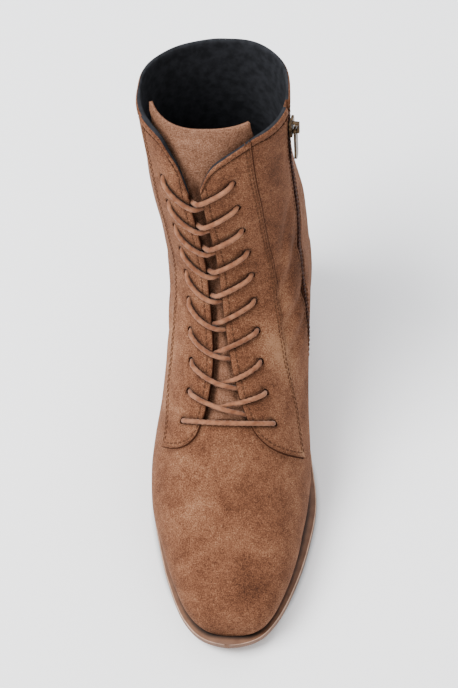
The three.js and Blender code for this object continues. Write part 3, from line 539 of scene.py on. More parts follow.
def joined(parts):
    """Points and faces of several meshes as one."""
    points, faces, base = [], [], 0
    for part_points, part_faces in parts:
        points.append(part_points)
        faces += [[v + base for v in face] for face in part_faces]
        base += len(part_points)
    return np.vstack(points), faces


# A quarter round at five points, as shares of its radius inward and upward
QUARTER_ROUND = [(1 - math.cos(a), 1 - math.sin(a)) for a in np.linspace(0, math.pi / 2, 5)]


def soft_noise(q, w, wavelength, seed):
    """Smooth unevenness in -1 to 1 from a few crossed waves about a wavelength apart."""
    s = np.asarray(q) * FRONT_LENGTH
    random = np.random.default_rng(seed)
    total = np.zeros(np.broadcast(s, w).shape)
    for _ in range(5):
        angle, phase, stretch = random.uniform((0, 0, 0.7), (math.pi, 2 * math.pi, 1.4))
        step = 2 * math.pi / (wavelength * stretch)
        total = total + np.sin((s * math.cos(angle) + w * math.sin(angle)) * step + phase)
    return total / 5


# Shading: one function adds a node with its settings and its inputs
def add_node(tree, kind, settings=None, inputs=None):
    made = tree.nodes.new(kind)
    for name, value in (settings or {}).items():
        setattr(made, name, value)
    for socket, value in (inputs or {}).items():
        if isinstance(value, bpy.types.NodeSocket):
            tree.links.new(value, made.inputs[socket])
        else:
            made.inputs[socket].default_value = value
    return made


MIX_FACTOR, MIX_A, MIX_B, MIX_RESULT = 0, 6, 7, 2


def start_material(name):
    """Gives a new material, its tree, its shader and the place on the piece in millimetres."""
    material = bpy.data.materials.new(name)
    material.use_nodes = True
    tree = material.node_tree
    shader = tree.nodes["Principled BSDF"]
    coordinates = add_node(tree, "ShaderNodeTexCoord")
    place = add_node(tree, "ShaderNodeVectorMath", {"operation": "SCALE"},
                     {0: coordinates.outputs["Object"], "Scale": 1 / METRE})
    return material, tree, shader, place.outputs[0]


# Painted shade in the corners where pieces meet, within a few millimetres
CREVICE_SHADE_REACH = 0.003


def shade_crevices(tree, colour, power):
    """The colour with painted shade: darker in the corners between pieces."""
    corner = add_node(tree, "ShaderNodeAmbientOcclusion", {"samples": 8},
                      {"Distance": CREVICE_SHADE_REACH})
    depth = add_node(tree, "ShaderNodeMath", {"operation": "POWER"}, {0: corner.outputs["AO"], 1: power})
    dark = add_node(tree, "ShaderNodeMix", {"data_type": "RGBA", "blend_type": "MULTIPLY"},
                    {MIX_FACTOR: 1.0, MIX_A: colour})
    tree.links.new(depth.outputs[0], dark.inputs[MIX_B])
    return dark.outputs[MIX_RESULT]


# Buffed split cowhide: a short nap that lies in patches, so its tone wanders and it never shines.
# The real fibres are about 0.3 mm apart, too fine to show, so they are drawn at 0.65 mm.
NAP_PATCH = 20
NAP_MOTTLE = 3.6
NAP_FIBRE = 0.65
PATCH_GAIN = 0.75
MOTTLE_GAIN = 0.5
FIBRE_GAIN = 2.0


def suede(name, deep, body, worn, light, patch_gain=PATCH_GAIN):
    material, tree, shader, place = start_material(name)
    patch = add_node(tree, "ShaderNodeTexNoise", None,
                     {"Vector": place, "Scale": 1 / NAP_PATCH, "Detail": 3, "Distortion": 0.6})
    mottle = add_node(tree, "ShaderNodeTexNoise", None,
                      {"Vector": place, "Scale": 1 / NAP_MOTTLE, "Detail": 4, "Roughness": 0.6})
    fibre = add_node(tree, "ShaderNodeTexNoise", None,
                     {"Vector": place, "Scale": 1 / NAP_FIBRE, "Detail": 3, "Roughness": 0.65})
    # The spot tone added here holds worn nap together with painted light and shade
    wear_and_shade = add_node(tree, "ShaderNodeAttribute", {"attribute_name": "wear_and_shade"})
    wear_and_shade_sum = add_node(tree, "ShaderNodeMath", {"operation": "ADD"},
                         {0: wear_and_shade.outputs["Fac"], 1: 0.5 * (1 - patch_gain - MOTTLE_GAIN - FIBRE_GAIN)})
    total = wear_and_shade_sum.outputs[0]
    for noise, gain in ((patch, patch_gain), (mottle, MOTTLE_GAIN), (fibre, FIBRE_GAIN)):
        sum_node = add_node(tree, "ShaderNodeMath", {"operation": "MULTIPLY_ADD"},
                            {0: noise.outputs["Fac"], 1: gain, 2: total})
        total = sum_node.outputs[0]
    tone = add_node(tree, "ShaderNodeValToRGB", None, {0: total})
    stops = tone.color_ramp.elements
    stops[0].color, stops[1].color = linear(deep), linear(light)
    for position, code in ((0.36, body), (0.64, worn)):
        stops.new(position).color = linear(code)
    # Painted shade darkens the suede's colour in its corners
    tree.links.new(shade_crevices(tree, tone.outputs[0], 1.6), shader.inputs["Base Color"])
    nap = add_node(tree, "ShaderNodeBump", None,
                   {"Height": fibre.outputs["Fac"], "Strength": 0.7, "Distance": 0.0006})
    lie = add_node(tree, "ShaderNodeBump", None,
                   {"Height": mottle.outputs["Fac"], "Strength": 0.5, "Distance": 0.001,
                    "Normal": nap.outputs[0]})
    tree.links.new(lie.outputs[0], shader.inputs["Normal"])
    shader.inputs["Roughness"].default_value = 0.95
    shader.inputs["Specular IOR Level"].default_value = 0.15
    shader.inputs["Sheen Weight"].default_value = 0.12
    shader.inputs["Sheen Roughness"].default_value = 0.5
    shader.inputs["Sheen Tint"].default_value = linear("b98a66")
    return material


# Woven or calendered goods whose tone changes a little: thread, lining, rubber, the dark cut edges with
# painted shade, and the sole edge's painted highlight
def plain_goods(name, shade, light, roughness, grain, bump, sheen=0.0, specular=0.15, crevice=1.0):
    material, tree, shader, place = start_material(name)
    tone = add_node(tree, "ShaderNodeTexNoise", None,
                    {"Vector": place, "Scale": 1 / (grain * 9), "Detail": 3})
    fine = add_node(tree, "ShaderNodeTexNoise", None,
                    {"Vector": place, "Scale": 1 / grain, "Detail": 3, "Roughness": 0.6})
    share = add_node(tree, "ShaderNodeMapRange", None,
                     {"Value": tone.outputs["Fac"], "From Min": 0.35, "From Max": 0.65})
    colour = add_node(tree, "ShaderNodeMix", {"data_type": "RGBA"},
                      {MIX_FACTOR: share.outputs[0], MIX_A: linear(shade), MIX_B: linear(light)})
    surface_bump = add_node(tree, "ShaderNodeBump", None,
                            {"Height": fine.outputs["Fac"], "Strength": bump, "Distance": 0.0003})
    shaded = shade_crevices(tree, colour.outputs[MIX_RESULT], crevice)
    tree.links.new(shaded, shader.inputs["Base Color"])
    tree.links.new(surface_bump.outputs[0], shader.inputs["Normal"])
    shader.inputs["Roughness"].default_value = roughness
    shader.inputs["Specular IOR Level"].default_value = specular
    shader.inputs["Sheen Weight"].default_value = sheen
    return material


# Cast zinc plated in antique brass: its tarnish wanders in patches, darker and duller in some, brighter
# and glossier in others
def antique_brass(name):
    material, tree, shader, place = start_material(name)
    tarnish = add_node(tree, "ShaderNodeTexNoise", None,
                       {"Vector": place, "Scale": 1 / 2.2, "Detail": 4, "Roughness": 0.65})
    share = add_node(tree, "ShaderNodeMapRange", None,
                     {"Value": tarnish.outputs["Fac"], "From Min": 0.38, "From Max": 0.66})
    colour = add_node(tree, "ShaderNodeMix", {"data_type": "RGBA"},
                      {MIX_FACTOR: share.outputs[0], MIX_A: linear("2a2018"), MIX_B: linear("5e4c36")})
    gloss = add_node(tree, "ShaderNodeMapRange", None,
                     {"Value": tarnish.outputs["Fac"], "To Min": 0.5, "To Max": 0.32})
    tree.links.new(colour.outputs[MIX_RESULT], shader.inputs["Base Color"])
    tree.links.new(gloss.outputs[0], shader.inputs["Roughness"])
    shader.inputs["Metallic"].default_value = 1
    return material


SUEDE = suede("suede_split_cowhide", "301a10", "553321", "6e4732", "916a4e")
# The tongue's suede is the upper's suede, painted lighter to offset the shade it lies in
TONGUE_SUEDE_PAINTED_LIGHTER = suede("suede_tongue_painted_lighter", "3b241a", "684633", "815b47", "9b765e", 0.5)
HEEL_SUEDE = suede("suede_heel_cover", "301a10", "50301f", "68422e", "866048", 0.5)
LINING = plain_goods("lining_woven_twill", "17181b", "25262a", 0.9, 0.5, 0.4)
# Dark edge colour: the real cut edges, and painted shade under the facings' steps and along the sole
CUT_EDGE_AND_SHADE = plain_goods("leather_cut_edge_and_painted_shade", "2e190f", "3d2317", 0.9, 0.5, 0.4, specular=0.03)
THREAD = plain_goods("thread_spun_polyester", "4a2e1f", "5d3e2c", 0.8, 0.3, 0.4, specular=0.05)
LACE_CORD = plain_goods("lace_braided_cotton", "6b422d", "8a5d43", 0.9, 0.45, 0.6, sheen=0.1)
# A painted highlight along the sole's rounded top edge
SOLE_EDGE_HIGHLIGHT = plain_goods("sole_edge_painted_highlight", "9a7860", "b3917a", 0.5, 0.7, 0.2, specular=0.5)
# The sole's rubber takes the painted corner shade more strongly, as a shadow line along the upper
SOLE_RUBBER = plain_goods("sole_moulded_rubber", "5f402e", "6f4e3a", 0.6, 0.7, 0.25, specular=0.3,
                          crevice=3.0)
LIFT_RUBBER = plain_goods("lift_hard_rubber", "120d0a", "1b1411", 0.6, 0.7, 0.3)
INSOLE_LEATHER = plain_goods("insole_sock_leather", "2f2018", "3f2d23", 0.6, 0.8, 0.3)
ZIP_TAPE = plain_goods("zip_woven_tape", "351d12", "43281b", 0.9, 0.4, 0.5, specular=0.03)
ZIP_TOOTH = plain_goods("zip_moulded_nylon", "33190f", "452719", 0.6, 0.6, 0.15, specular=0.08)
BRASS = antique_brass("antique_brass")


# Grid of the upper: bands between lines that follow the edges and seams, with cells in each
RAMP = 0.4
EDGE_ROLL = 0.7
BAND_CELLS = (42, 2, 19, 1, 10, 1, 19, 2, 22, 1, 5, 1, 34)
FEATHER_PACKING = 1.45
# Cells next to the feather edge are painted dark as a shadow line along the sole
FEATHER_SHADE_CELLS = 2
SEAM_LINE_L, GAP_LINE_L, GAP_LINE_M, SEAM_LINE_M, ZIP_LINE_IN, ZIP_LINE_OUT = 2, 4, 5, 7, 10, 11


def band_lines(q):
    half_zip = ZIP_WIDTH / 2
    seam_l, seam_m = facing_seam(q, -1), facing_seam(q, 1)
    gap_l, gap_m = gap_edge(q, -1), gap_edge(q, 1)
    centre = zip_distance(q)
    return np.stack([
        -half_length(q, -1), seam_l - RAMP, seam_l + RAMP, gap_l - EDGE_ROLL, gap_l,
        gap_m, gap_m + EDGE_ROLL, seam_m - RAMP, seam_m + RAMP,
        centre - half_zip - RAMP, centre - half_zip, centre + half_zip, centre + half_zip + RAMP,
        half_length(q, 1),
    ])


def column_bands():
    bands, shares = [], []
    last = len(BAND_CELLS) - 1
    for band, cells in enumerate(BAND_CELLS):
        for k in range(cells):
            share = k / cells
            if band == 0:
                share = share ** FEATHER_PACKING
            elif band == last:
                share = 1 - (1 - share) ** FEATHER_PACKING
            bands.append(band)
            shares.append(share)
    bands.append(last)
    shares.append(1.0)
    return np.array(bands), np.array(shares)


COLUMN_BAND, COLUMN_SHARE = column_bands()
BAND_START = np.concatenate([[0], np.cumsum(BAND_CELLS)])


def column_distances(q):
    """Distance from the crown line for a grid of stations, one column of the grid each."""
    lines = band_lines(q)
    column = np.arange(q.shape[1])[None, :]
    row = np.arange(q.shape[0])[:, None]
    low = lines[COLUMN_BAND[None, :], row, column]
    high = lines[COLUMN_BAND[None, :] + 1, row, column]
    return lerp(low, high, COLUMN_SHARE[None, :])


def edge_stations():
    """Station of the facings' front edge on each column."""
    count = len(COLUMN_BAND)
    probe = np.full((1, count), TAB_EDGE[-1][1])
    w = column_distances(probe)[0]
    result = np.full(count, float(TAB_EDGE[-1][1]))
    for side in (-1, 1):
        gap = gap_edge(probe[0], side)
        seam = facing_seam(probe[0], side) - side * RAMP
        share = np.clip((w - gap) / (seam - gap), 0, 1)
        first = BAND_START[SEAM_LINE_L if side < 0 else GAP_LINE_M]
        last = BAND_START[GAP_LINE_L if side < 0 else SEAM_LINE_M]
        mine = (np.arange(count) >= first) & (np.arange(count) <= last)
        result[mine] = read_table(TAB_EDGE, share)[mine]
    between = (np.arange(count) > BAND_START[GAP_LINE_L]) & (np.arange(count) < BAND_START[GAP_LINE_M])
    result[between] = TAB_EDGE[0][1]
    return result


COLLAR_PROBE = 0.95


def collar_stations():
    count = len(COLUMN_BAND)
    w = column_distances(np.full((1, count), COLLAR_PROBE))[0]
    lateral = np.arange(count) <= BAND_START[GAP_LINE_L]
    far_l = np.clip(np.abs(w - w[BAND_START[GAP_LINE_L]]) / BALL_WIDTH, 0, 1)
    far_m = np.clip(np.abs(w - w[BAND_START[GAP_LINE_M]]) / BALL_WIDTH, 0, 1)
    return np.where(lateral, read_table(LATERAL_COLLAR, far_l), read_table(MEDIAL_COLLAR, far_m))


VAMP_ROWS = 104
VAMP_PACKING = 1.25
FOOT_ROWS = 112
SHAFT_ROWS = 84
RIM_DISTANCES = (3.7, 3.1, 2.2, 1.2, 0.5, 0)


def upper_rows():
    """Stations of the upper's grid, the throat row and the columns' edge stations."""
    edge, collar = edge_stations(), collar_stations()
    ramp = 2 * RAMP / FRONT_LENGTH
    start = edge + ramp
    heel_share = (HEEL_STATION - start[0]) / (collar[0] - start[0])
    probe = np.linspace(0, HEEL_STATION, 2000)
    feet = section_at(probe)[:, 0]
    foot_start = np.interp(start[0], probe, feet)
    f = np.arange(1, FOOT_ROWS + 1) / FOOT_ROWS
    along = lerp(foot_start, feet[-1], np.sin(math.pi / 2 * f))
    foot_share = (np.interp(along, feet, probe) - start[0]) / (HEEL_STATION - start[0])
    foot_share[-1] = 1
    heel = lerp(start, collar, heel_share)
    rim = np.array(RIM_DISTANCES) / FRONT_LENGTH
    rows = [edge * (k / VAMP_ROWS) ** VAMP_PACKING for k in range(VAMP_ROWS + 1)]
    rows.append(start)
    rows += [lerp(start, collar, heel_share * share) for share in foot_share]
    rows += [lerp(heel, collar - rim[0], k / SHAFT_ROWS) for k in range(1, SHAFT_ROWS)]
    rows += [collar - distance for distance in rim]
    return np.array(rows), VAMP_ROWS, edge


# Eyelets: plain punched holes, one row on each facing
def eyelet_station(k):
    return lerp(FIRST_EYELET, LAST_EYELET, k / (EYELET_PAIRS - 1))


def eyelet_distance(q, side):
    margin = LATERAL_EYELET_MARGIN if side < 0 else MEDIAL_EYELET_MARGIN
    return gap_edge(q, side) + side * margin


EYELETS = [(eyelet_station(k), float(eyelet_distance(eyelet_station(k), side)))
           for k in range(EYELET_PAIRS) for side in (-1, 1)]

# Creases, chosen against the photograph: station and distance in ball widths of both ends, then width
# and depth in mm
CREASES = (
    (0.375, -0.47, 0.395, -0.12, 3.2, 0.5), (0.352, -0.42, 0.366, 0.1, 4.5, 0.35),
    (0.372, 0.1, 0.368, 0.5, 3.4, 0.45), (0.335, 0.05, 0.33, 0.52, 4.5, 0.3),
    (0.56, 0.46, 0.62, 0.62, 3.0, 1.0), (0.6, 0.42, 0.67, 0.66, 3.2, 1.2),
    (0.65, 0.38, 0.74, 0.6, 3.4, 1.1), (0.72, 0.42, 0.82, 0.56, 3.6, 0.8),
    (0.57, -0.52, 0.63, -0.7, 3.0, 0.7), (0.61, -0.48, 0.68, -0.72, 3.4, 0.8),
    (0.66, -0.46, 0.72, -0.66, 3.6, 0.6),
)


def crease_relief(q, w):
    s = q * FRONT_LENGTH
    total = np.zeros(s.shape)
    for q0, share0, q1, share1, width, depth in CREASES:
        start = np.array([q0 * FRONT_LENGTH, share0 * BALL_WIDTH])
        reach = np.array([q1 * FRONT_LENGTH, share1 * BALL_WIDTH]) - start
        length = np.hypot(*reach)
        t = ((s - start[0]) * reach[0] + (w - start[1]) * reach[1]) / length ** 2
        off = np.abs((s - start[0]) * reach[1] - (w - start[1]) * reach[0]) / length
        beyond = np.maximum(np.maximum(-t, t - 1), 0) * length
        fade = np.exp(-(beyond / (0.18 * length)) ** 2)
        trough = -np.exp(-(off / width) ** 2)
        ridges = 0.45 * np.exp(-((off - 1.9 * width) / width) ** 2)
        total += depth * (trough + ridges) * fade
    return total


# Worn nap together with painted light and shade, chosen after a listing of where a render was darker or
# lighter than the photograph: station, distance in ball widths, radius in mm and strength
WEAR_AND_SHADE_SPOTS = (
    (0.565, 0.33, 12, 0.42), (0.53, 0.42, 14, 0.2), (0.68, 0.55, 26, -0.22), (0.75, 0.52, 22, -0.16),
    (0.91, 0.44, 9, -0.28), (0.59, -0.53, 16, 0.2), (0.52, -0.6, 16, 0.22), (0.352, -0.32, 9, 0.28),
    (0.335, -0.12, 8, 0.16), (0.24, -0.2, 12, 0.12), (0.12, 0.12, 14, -0.12), (0.645, 0.24, 9, 0.12),
    (0.84, -0.42, 14, -0.1), (0.7, -0.5, 12, -0.12), (0.42, 0.5, 14, 0.08),
    (0.403, 0.542, 2.4, 0.5), (0.5, -0.3, 20, 0.08), (0.62, -0.28, 12, -0.06), (0.78, 0.2, 16, 0.1),
    (0.735, 0.47, 7, 0.26), (0.712, 0.43, 7, 0.26), (0.655, 0.41, 9, 0.28), (0.625, 0.45, 7, 0.2),
)


def wear_and_shade_tone(q, w):
    """Worn nap and painted light and shade: lighter above nought, darker below."""
    total = np.zeros(q.shape)
    for station, share, radius, strength in WEAR_AND_SHADE_SPOTS:
        gap = ((q - station) * FRONT_LENGTH) ** 2 + (w - share * BALL_WIDTH) ** 2
        total += strength * np.exp(-gap / radius ** 2)
    return total


# Unevenness of the wall, all over and on the shaft, and the dimple round each eyelet, in mm
DENT_HEIGHT = 0.35
DENT_SPREAD = 22
SWELL_HEIGHT = 0.9
SWELL_SPREAD = 55
EYELET_PULL = 0.3
EYELET_PULL_REACH = 3.5
FOOT_DENTS = 0.45
SHAFT_FROM = 0.5
SHAFT_BLEND = 0.25


def upper_relief(q, w):
    """Low relief of the outer face: softness, creases, the pull of the lace at each eyelet."""
    on_shaft = ease((q - SHAFT_FROM) / SHAFT_BLEND)
    relief = DENT_HEIGHT * soft_noise(q, w, DENT_SPREAD, 3) * lerp(FOOT_DENTS, 1, on_shaft)
    relief += SWELL_HEIGHT * soft_noise(q, w, SWELL_SPREAD, 5) * on_shaft
    relief += crease_relief(q, w)
    s = q * FRONT_LENGTH
    for station, distance in EYELETS:
        gap = (s - station * FRONT_LENGTH) ** 2 + (w - distance) ** 2
        relief -= EYELET_PULL * np.exp(-gap / EYELET_PULL_REACH ** 2)
    return relief


def feather_direction(q, share):
    """Level directions square to the seam line between upper and sole."""
    on, back = np.minimum(q + STATION_STEP, HEEL_STATION), np.maximum(q - STATION_STEP, 0)
    along = surface(on, share) - surface(back, share)
    turned = np.stack([along[..., 1], -along[..., 0], np.zeros(along.shape[:-1])], -1)
    return unit(turned * np.sign(share)[..., None])


HOLE_RADIUS = EYELET_DIAMETER / 2 + 0.1

# Low forms along an edge: height, distance from the edge and spread in mm
RIM_SWELL = (0.45, 1.6, 1.5)
RIM_GROOVE = (0.4, 3.4, 0.5)
RIM_ROLL = (0.6, 0, 0.35)
FACING_FOLD = (0.65, 1.3, 0.9)
GAP_ROLL = 0.4
SEAM_BLEND = 5
SEAM_CALM = 12


def low_form(form, distance, power=2):
    height, middle, spread = form
    return height * np.exp(-((distance - middle) / spread) ** power)


def punch_holes(q, w):
    """Marks the points inside each eyelet, and moves the ring round them onto its edge."""
    inside = np.zeros(q.shape, bool)
    s = q * FRONT_LENGTH
    for station, distance in EYELETS:
        ds, dw = s - station * FRONT_LENGTH, w - distance
        far = np.hypot(ds, dw)
        core = far < HOLE_RADIUS
        near = np.zeros(q.shape, bool)
        for dr in (-1, 0, 1):
            for dc in (-1, 0, 1):
                near |= np.roll(core, (dr, dc), (0, 1))
        ring = near & ~core
        scale = HOLE_RADIUS / np.maximum(far, 1e-9)
        s = np.where(ring, station * FRONT_LENGTH + ds * scale, s)
        w = np.where(ring, distance + dw * scale, w)
        inside |= core
    return s / FRONT_LENGTH, w, inside


def make_upper():
    q, throat, edge = upper_rows()
    held = np.maximum(q, edge[None, :])
    distance = column_distances(held)
    share = distance / side_length(held, distance)
    w = share * side_length(q, distance)
    q, w, inside = punch_holes(q, w)
    share = np.where(np.arange(q.shape[1])[None, :] == 0, -1, share_at(q, w))
    share[:, -1] = 1
    rows, columns = q.shape
    row = np.arange(rows)[:, None]
    column = np.arange(columns)[None, :]
    place = surface(q, share)
    normal = outward(q, share)
    on_feather = (q < HEEL_STATION + 1e-9)
    to_feather = (1 - np.abs(share)) * side_length(q, share)
    edge_share = np.where(share < 0, -1.0, 1.0)
    flat = feather_direction(q, edge_share)
    blend = (1 - ease(to_feather / SEAM_BLEND)) * on_feather
    normal = unit(lerp(normal, flat, blend[..., None]))
    normal[0] = (0, -1, 0)
    facing = (row > throat) & (column >= BAND_START[SEAM_LINE_L]) & (column <= BAND_START[SEAM_LINE_M])
    groove = (q >= ZIP_FOOT) & (column >= BAND_START[ZIP_LINE_IN]) & (column <= BAND_START[ZIP_LINE_OUT])
    offset = np.where(facing, facing_height(q), 0) - np.where(groove, ZIP_GROOVE_DEPTH, 0)
    calm = 1 - groove
    relief = upper_relief(q, w) * ease(to_feather / SEAM_CALM) * calm
    to_collar = (q[-1:, :] - q) * FRONT_LENGTH
    behind_edge = (q - edge[None, :]) * FRONT_LENGTH
    rim = low_form(RIM_SWELL, to_collar, 4) - low_form(RIM_GROOVE, to_collar)
    rolled = low_form(RIM_ROLL, to_collar)
    gap_roll = (row > throat) & ((column == BAND_START[GAP_LINE_L]) | (column == BAND_START[GAP_LINE_M]))
    fold = low_form(FACING_FOLD, behind_edge) * facing
    offset = offset + relief + fold + rim * calm - rolled - GAP_ROLL * gap_roll
    outer = place + normal * offset[..., None]
    inner = place - normal * (UPPER_WALL - GAP_ROLL * gap_roll - rolled * 0.6)[..., None]
    number = np.arange(rows * columns).reshape(rows, columns)
    number[0] = number[0, 0]
    number[q[:, -1] >= HEEL_STATION - 1e-9, -1] = number[q[:, -1] >= HEEL_STATION - 1e-9, 0]
    outside = ~((row[:-1] >= throat) & (column[:, :-1] >= BAND_START[GAP_LINE_L])
                & (column[:, :-1] < BAND_START[GAP_LINE_M]))
    whole = ~(inside[:-1, :-1] | inside[1:, :-1] | inside[:-1, 1:] | inside[1:, 1:])
    keep = outside & whole
    cells = grid_cells(number)[keep]
    first_row, first_column = row[:-1], column[:, :-1]
    # The facings' step faces take the dark edge colour: their cut edge, with the shadow under the step
    # painted in
    facing_row = (first_row >= throat) & (first_column >= BAND_START[SEAM_LINE_L - 1])
    facing_row = facing_row & (first_column < BAND_START[SEAM_LINE_M + 1])
    side_ramp = (first_row > throat) & ((first_column < BAND_START[SEAM_LINE_L])
                                        | (first_column >= BAND_START[SEAM_LINE_M]))
    # Painted shade: the cells next to the feather edge take the dark edge colour, as the shadow where
    # upper meets sole
    feather_shade = (first_column < FEATHER_SHADE_CELLS) | (first_column >= columns - 1 - FEATHER_SHADE_CELLS)
    feather_shade = feather_shade & (q[:-1, :-1] < HEEL_STATION - 1e-9)
    cut_and_shade = ((facing_row & (side_ramp | (first_row == throat))) | feather_shade)[keep]
    lined_rim = set(number[-1].tolist())
    sheet_piece("upper_shell", outer.reshape(-1, 3), inner.reshape(-1, 3), cells,
                [SUEDE, LINING, CUT_EDGE_AND_SHADE], "upper", cut_and_shade, lined_rim, wear_and_shade_tone(q, w).ravel())


def sheet_piece(name, outer, inner, cells, materials, node, cut_and_shade=None, lined_rim=(), wear_and_shade=None):
    """Closed shell between two sheets of the same cells, with its rim faces and the given faces of cut
    edge and painted shade in the third slot.
    """
    cut_and_shade = np.zeros(len(cells), bool) if cut_and_shade is None else cut_and_shade
    used = np.unique(cells)
    renumber = np.full(len(outer), -1)
    renumber[used] = np.arange(len(used))
    cells = renumber[cells]
    count = len(used)
    lined = {int(renumber[v]) for v in lined_rim}
    faces, slots, edges = [], [], set()
    for cell, is_cut_and_shade in zip(cells.tolist(), cut_and_shade.tolist()):
        face = [v for k, v in enumerate(cell) if v != cell[k - 1]]
        if len(face) < 3:
            continue
        faces.append(face)
        slots.append(2 if is_cut_and_shade else 0)
        edges.update(zip(face, face[1:] + face[:1]))
    inner_faces = [[v + count for v in reversed(face)] for face in faces]
    rim_edges = [(a, b) for a, b in sorted(edges) if (b, a) not in edges]
    rim_faces = [[b, a, a + count, b + count] for a, b in rim_edges]
    slots += [1] * len(inner_faces) + [1 if a in lined and b in lined else 2 for a, b in rim_edges]
    points = np.vstack([outer[used], inner[used]])
    piece = add_piece(name, points, faces + inner_faces + rim_faces, materials, face_slots=slots)
    if wear_and_shade is not None:
        tone = piece.data.attributes.new("wear_and_shade", "FLOAT", "POINT")
        tone.data.foreach_set("value", np.tile(wear_and_shade[used], 2))
    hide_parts(node)


make_upper()


# Tongue: under the facings, in fine cross wrinkles where it bends over the instep. Its head is
# flared past the part's own tongue, to fill the opening as it does in the photograph.
TONGUE_TUCK = 0.07
TONGUE_ROUNDING = 0.08
ROUNDED_FROM = 0.96
TONGUE_FLARE = 0.22
FLARED_FROM = 0.82
TONGUE_RISE = ((0, 0), (0.43, 0), (0.46, 1.3), (0.62, 1.1), (0.7, -2), (0.84, -2.4), (0.9, 0), (1, 0))
TONGUE_ROWS = 150
TONGUE_COLUMNS = 56
WRINKLE_PITCH = 7.5
WRINKLE_HEIGHT = 0.22
TONGUE_WAVE = 0.25


def tongue_depth(q):
    room = LACE_DIAMETER + 2 * SEAT_GAP
    return UPPER_WALL + SEAT_GAP + (room - SEAT_GAP) * ease((q - TONGUE_FOOT) / TONGUE_TUCK)


def tongue_relief(q, w):
    s = q * FRONT_LENGTH
    wander = 1.6 * np.sin(w / 7.3) + 2.2 * soft_noise(q, w, 40, 11)
    fine = np.sin((s + wander) * 2 * math.pi / WRINKLE_PITCH) * ease((q - 0.43) / 0.05)
    wrinkles = WRINKLE_HEIGHT * fine * (0.6 + 0.4 * soft_noise(q, w, 30, 12))
    return wrinkles + TONGUE_WAVE * soft_noise(q, w, 22, 13)


def make_tongue():
    q = np.repeat(np.linspace(TONGUE_FOOT, TONGUE_HEAD, TONGUE_ROWS + 1)[:, None], TONGUE_COLUMNS + 1, 1)
    centre = (gap_edge(q, -1) + gap_edge(q, 1)) / 2
    narrowing = TONGUE_ROUNDING * ease((q - ROUNDED_FROM) / (TONGUE_HEAD - ROUNDED_FROM))
    flare = TONGUE_FLARE * ease((q - FLARED_FROM) / (ROUNDED_FROM - FLARED_FROM))
    half = TONGUE_HALF_WIDTH * BALL_WIDTH * (1 + flare - narrowing)
    w = centre + half * np.linspace(-1, 1, TONGUE_COLUMNS + 1)[None, :]
    share = share_at(q, w)
    place, normal = surface(q, share), outward(q, share)
    room = np.abs(w - centre) / np.maximum((gap_edge(q, 1) - gap_edge(q, -1)) / 2 - 1, 1)
    rise = read_table(TONGUE_RISE, q)
    depth = tongue_depth(q) - rise * np.exp(-room ** 4)
    relief = np.minimum(tongue_relief(q, w), 0.3)
    outer = place + normal * (relief - depth)[..., None]
    inner = place - normal * (depth + TONGUE_THICKNESS)[..., None]
    cells = grid_cells(np.arange(q.size).reshape(q.shape)).reshape(-1, 4)
    sheet_piece("tongue_leaf", outer.reshape(-1, 3), inner.reshape(-1, 3), cells,
                [TONGUE_SUEDE_PAINTED_LIGHTER, LINING, TONGUE_SUEDE_PAINTED_LIGHTER], "tongue")


make_tongue()


# Sweeps and joined repeats
def frames_along(points):
    """Side and up directions along a path, turned no more than the path itself turns."""
    forward = unit(np.gradient(points, axis=0))
    side = np.zeros_like(forward)
    first = np.cross(forward[0], (0, 0, 1))
    side[0] = first / np.linalg.norm(first)
    for k in range(1, len(points)):
        carried = side[k - 1] - forward[k] * np.dot(side[k - 1], forward[k])
        side[k] = carried / np.linalg.norm(carried)
    return side, np.cross(side, forward)


def run_along(points):
    """Distance along a path at each of its points."""
    return np.concatenate([[0], np.cumsum(np.linalg.norm(np.diff(points, axis=0), axis=1))])


def points_at(marks, length, points):
    """Values along a path at the marked distances."""
    return np.stack([np.interp(marks, length, points[:, axis]) for axis in range(3)], -1)


FINE_STEPS = 24


def evenly(points, step):
    """Points at even steps along a path that is rounded through the given points."""
    points = np.asarray(points, float)
    knots = np.concatenate([[0], np.cumsum(np.linalg.norm(np.diff(points, axis=0), axis=1) ** 0.5)])
    slopes = np.gradient(points, knots, axis=0)
    fine = []
    for k in range(len(points) - 1):
        span = knots[k + 1] - knots[k]
        t = np.linspace(0, 1, FINE_STEPS, endpoint=False)[:, None]
        fine.append(hermite(t, span, points[k], points[k + 1], slopes[k], slopes[k + 1]))
    fine = np.vstack([*fine, points[-1:]])
    length = run_along(fine)
    marks = np.linspace(0, length[-1], max(2, round(length[-1] / step) + 1))
    return points_at(marks, length, fine), length[-1]


def tube_mesh(points, radius, sides):
    """Points and faces of a closed tube; the radius may change from point to point."""
    side, up = frames_along(points)
    angle = np.arange(sides) * 2 * math.pi / sides
    ring = side[:, None] * np.cos(angle)[None, :, None] + up[:, None] * np.sin(angle)[None, :, None]
    verts = points[:, None] + ring * radius[..., None]
    return verts.reshape(-1, 3), tube_faces(len(points), sides)


# Lace: one cord, from a hidden end in one top eyelet down to the bar and up to the other
LACE_RADIUS = LACE_DIAMETER / 2 * 0.94
LACE_CLEARANCE = 0.25
LACE_DROP = LACE_DIAMETER
LACE_STOP = 1.5
STRAND_SAG = {-1: 1.9, 1: 1.35}
STRAND_DIP = {-1: 0.0065, 1: -0.004}
LOWEST_CROSSINGS = 2
LOWEST_SAG = 1.7
HIDDEN_SHIFT = 1.2
UNDER_WALL = UPPER_WALL + SEAT_GAP + LACE_RADIUS
BAR_SAG = 5.5
BRAID_PITCH = 3.2
BRAID_RELIEF = 0.05
LACE_SIDES = 16
LACE_STEP = 0.5


def over_facing(q):
    return facing_height(q) + LACE_CLEARANCE + LACE_RADIUS


def lace_place(q, w, offset):
    return lifted(np.array([q]), np.array([w]), np.array([offset]))[0]


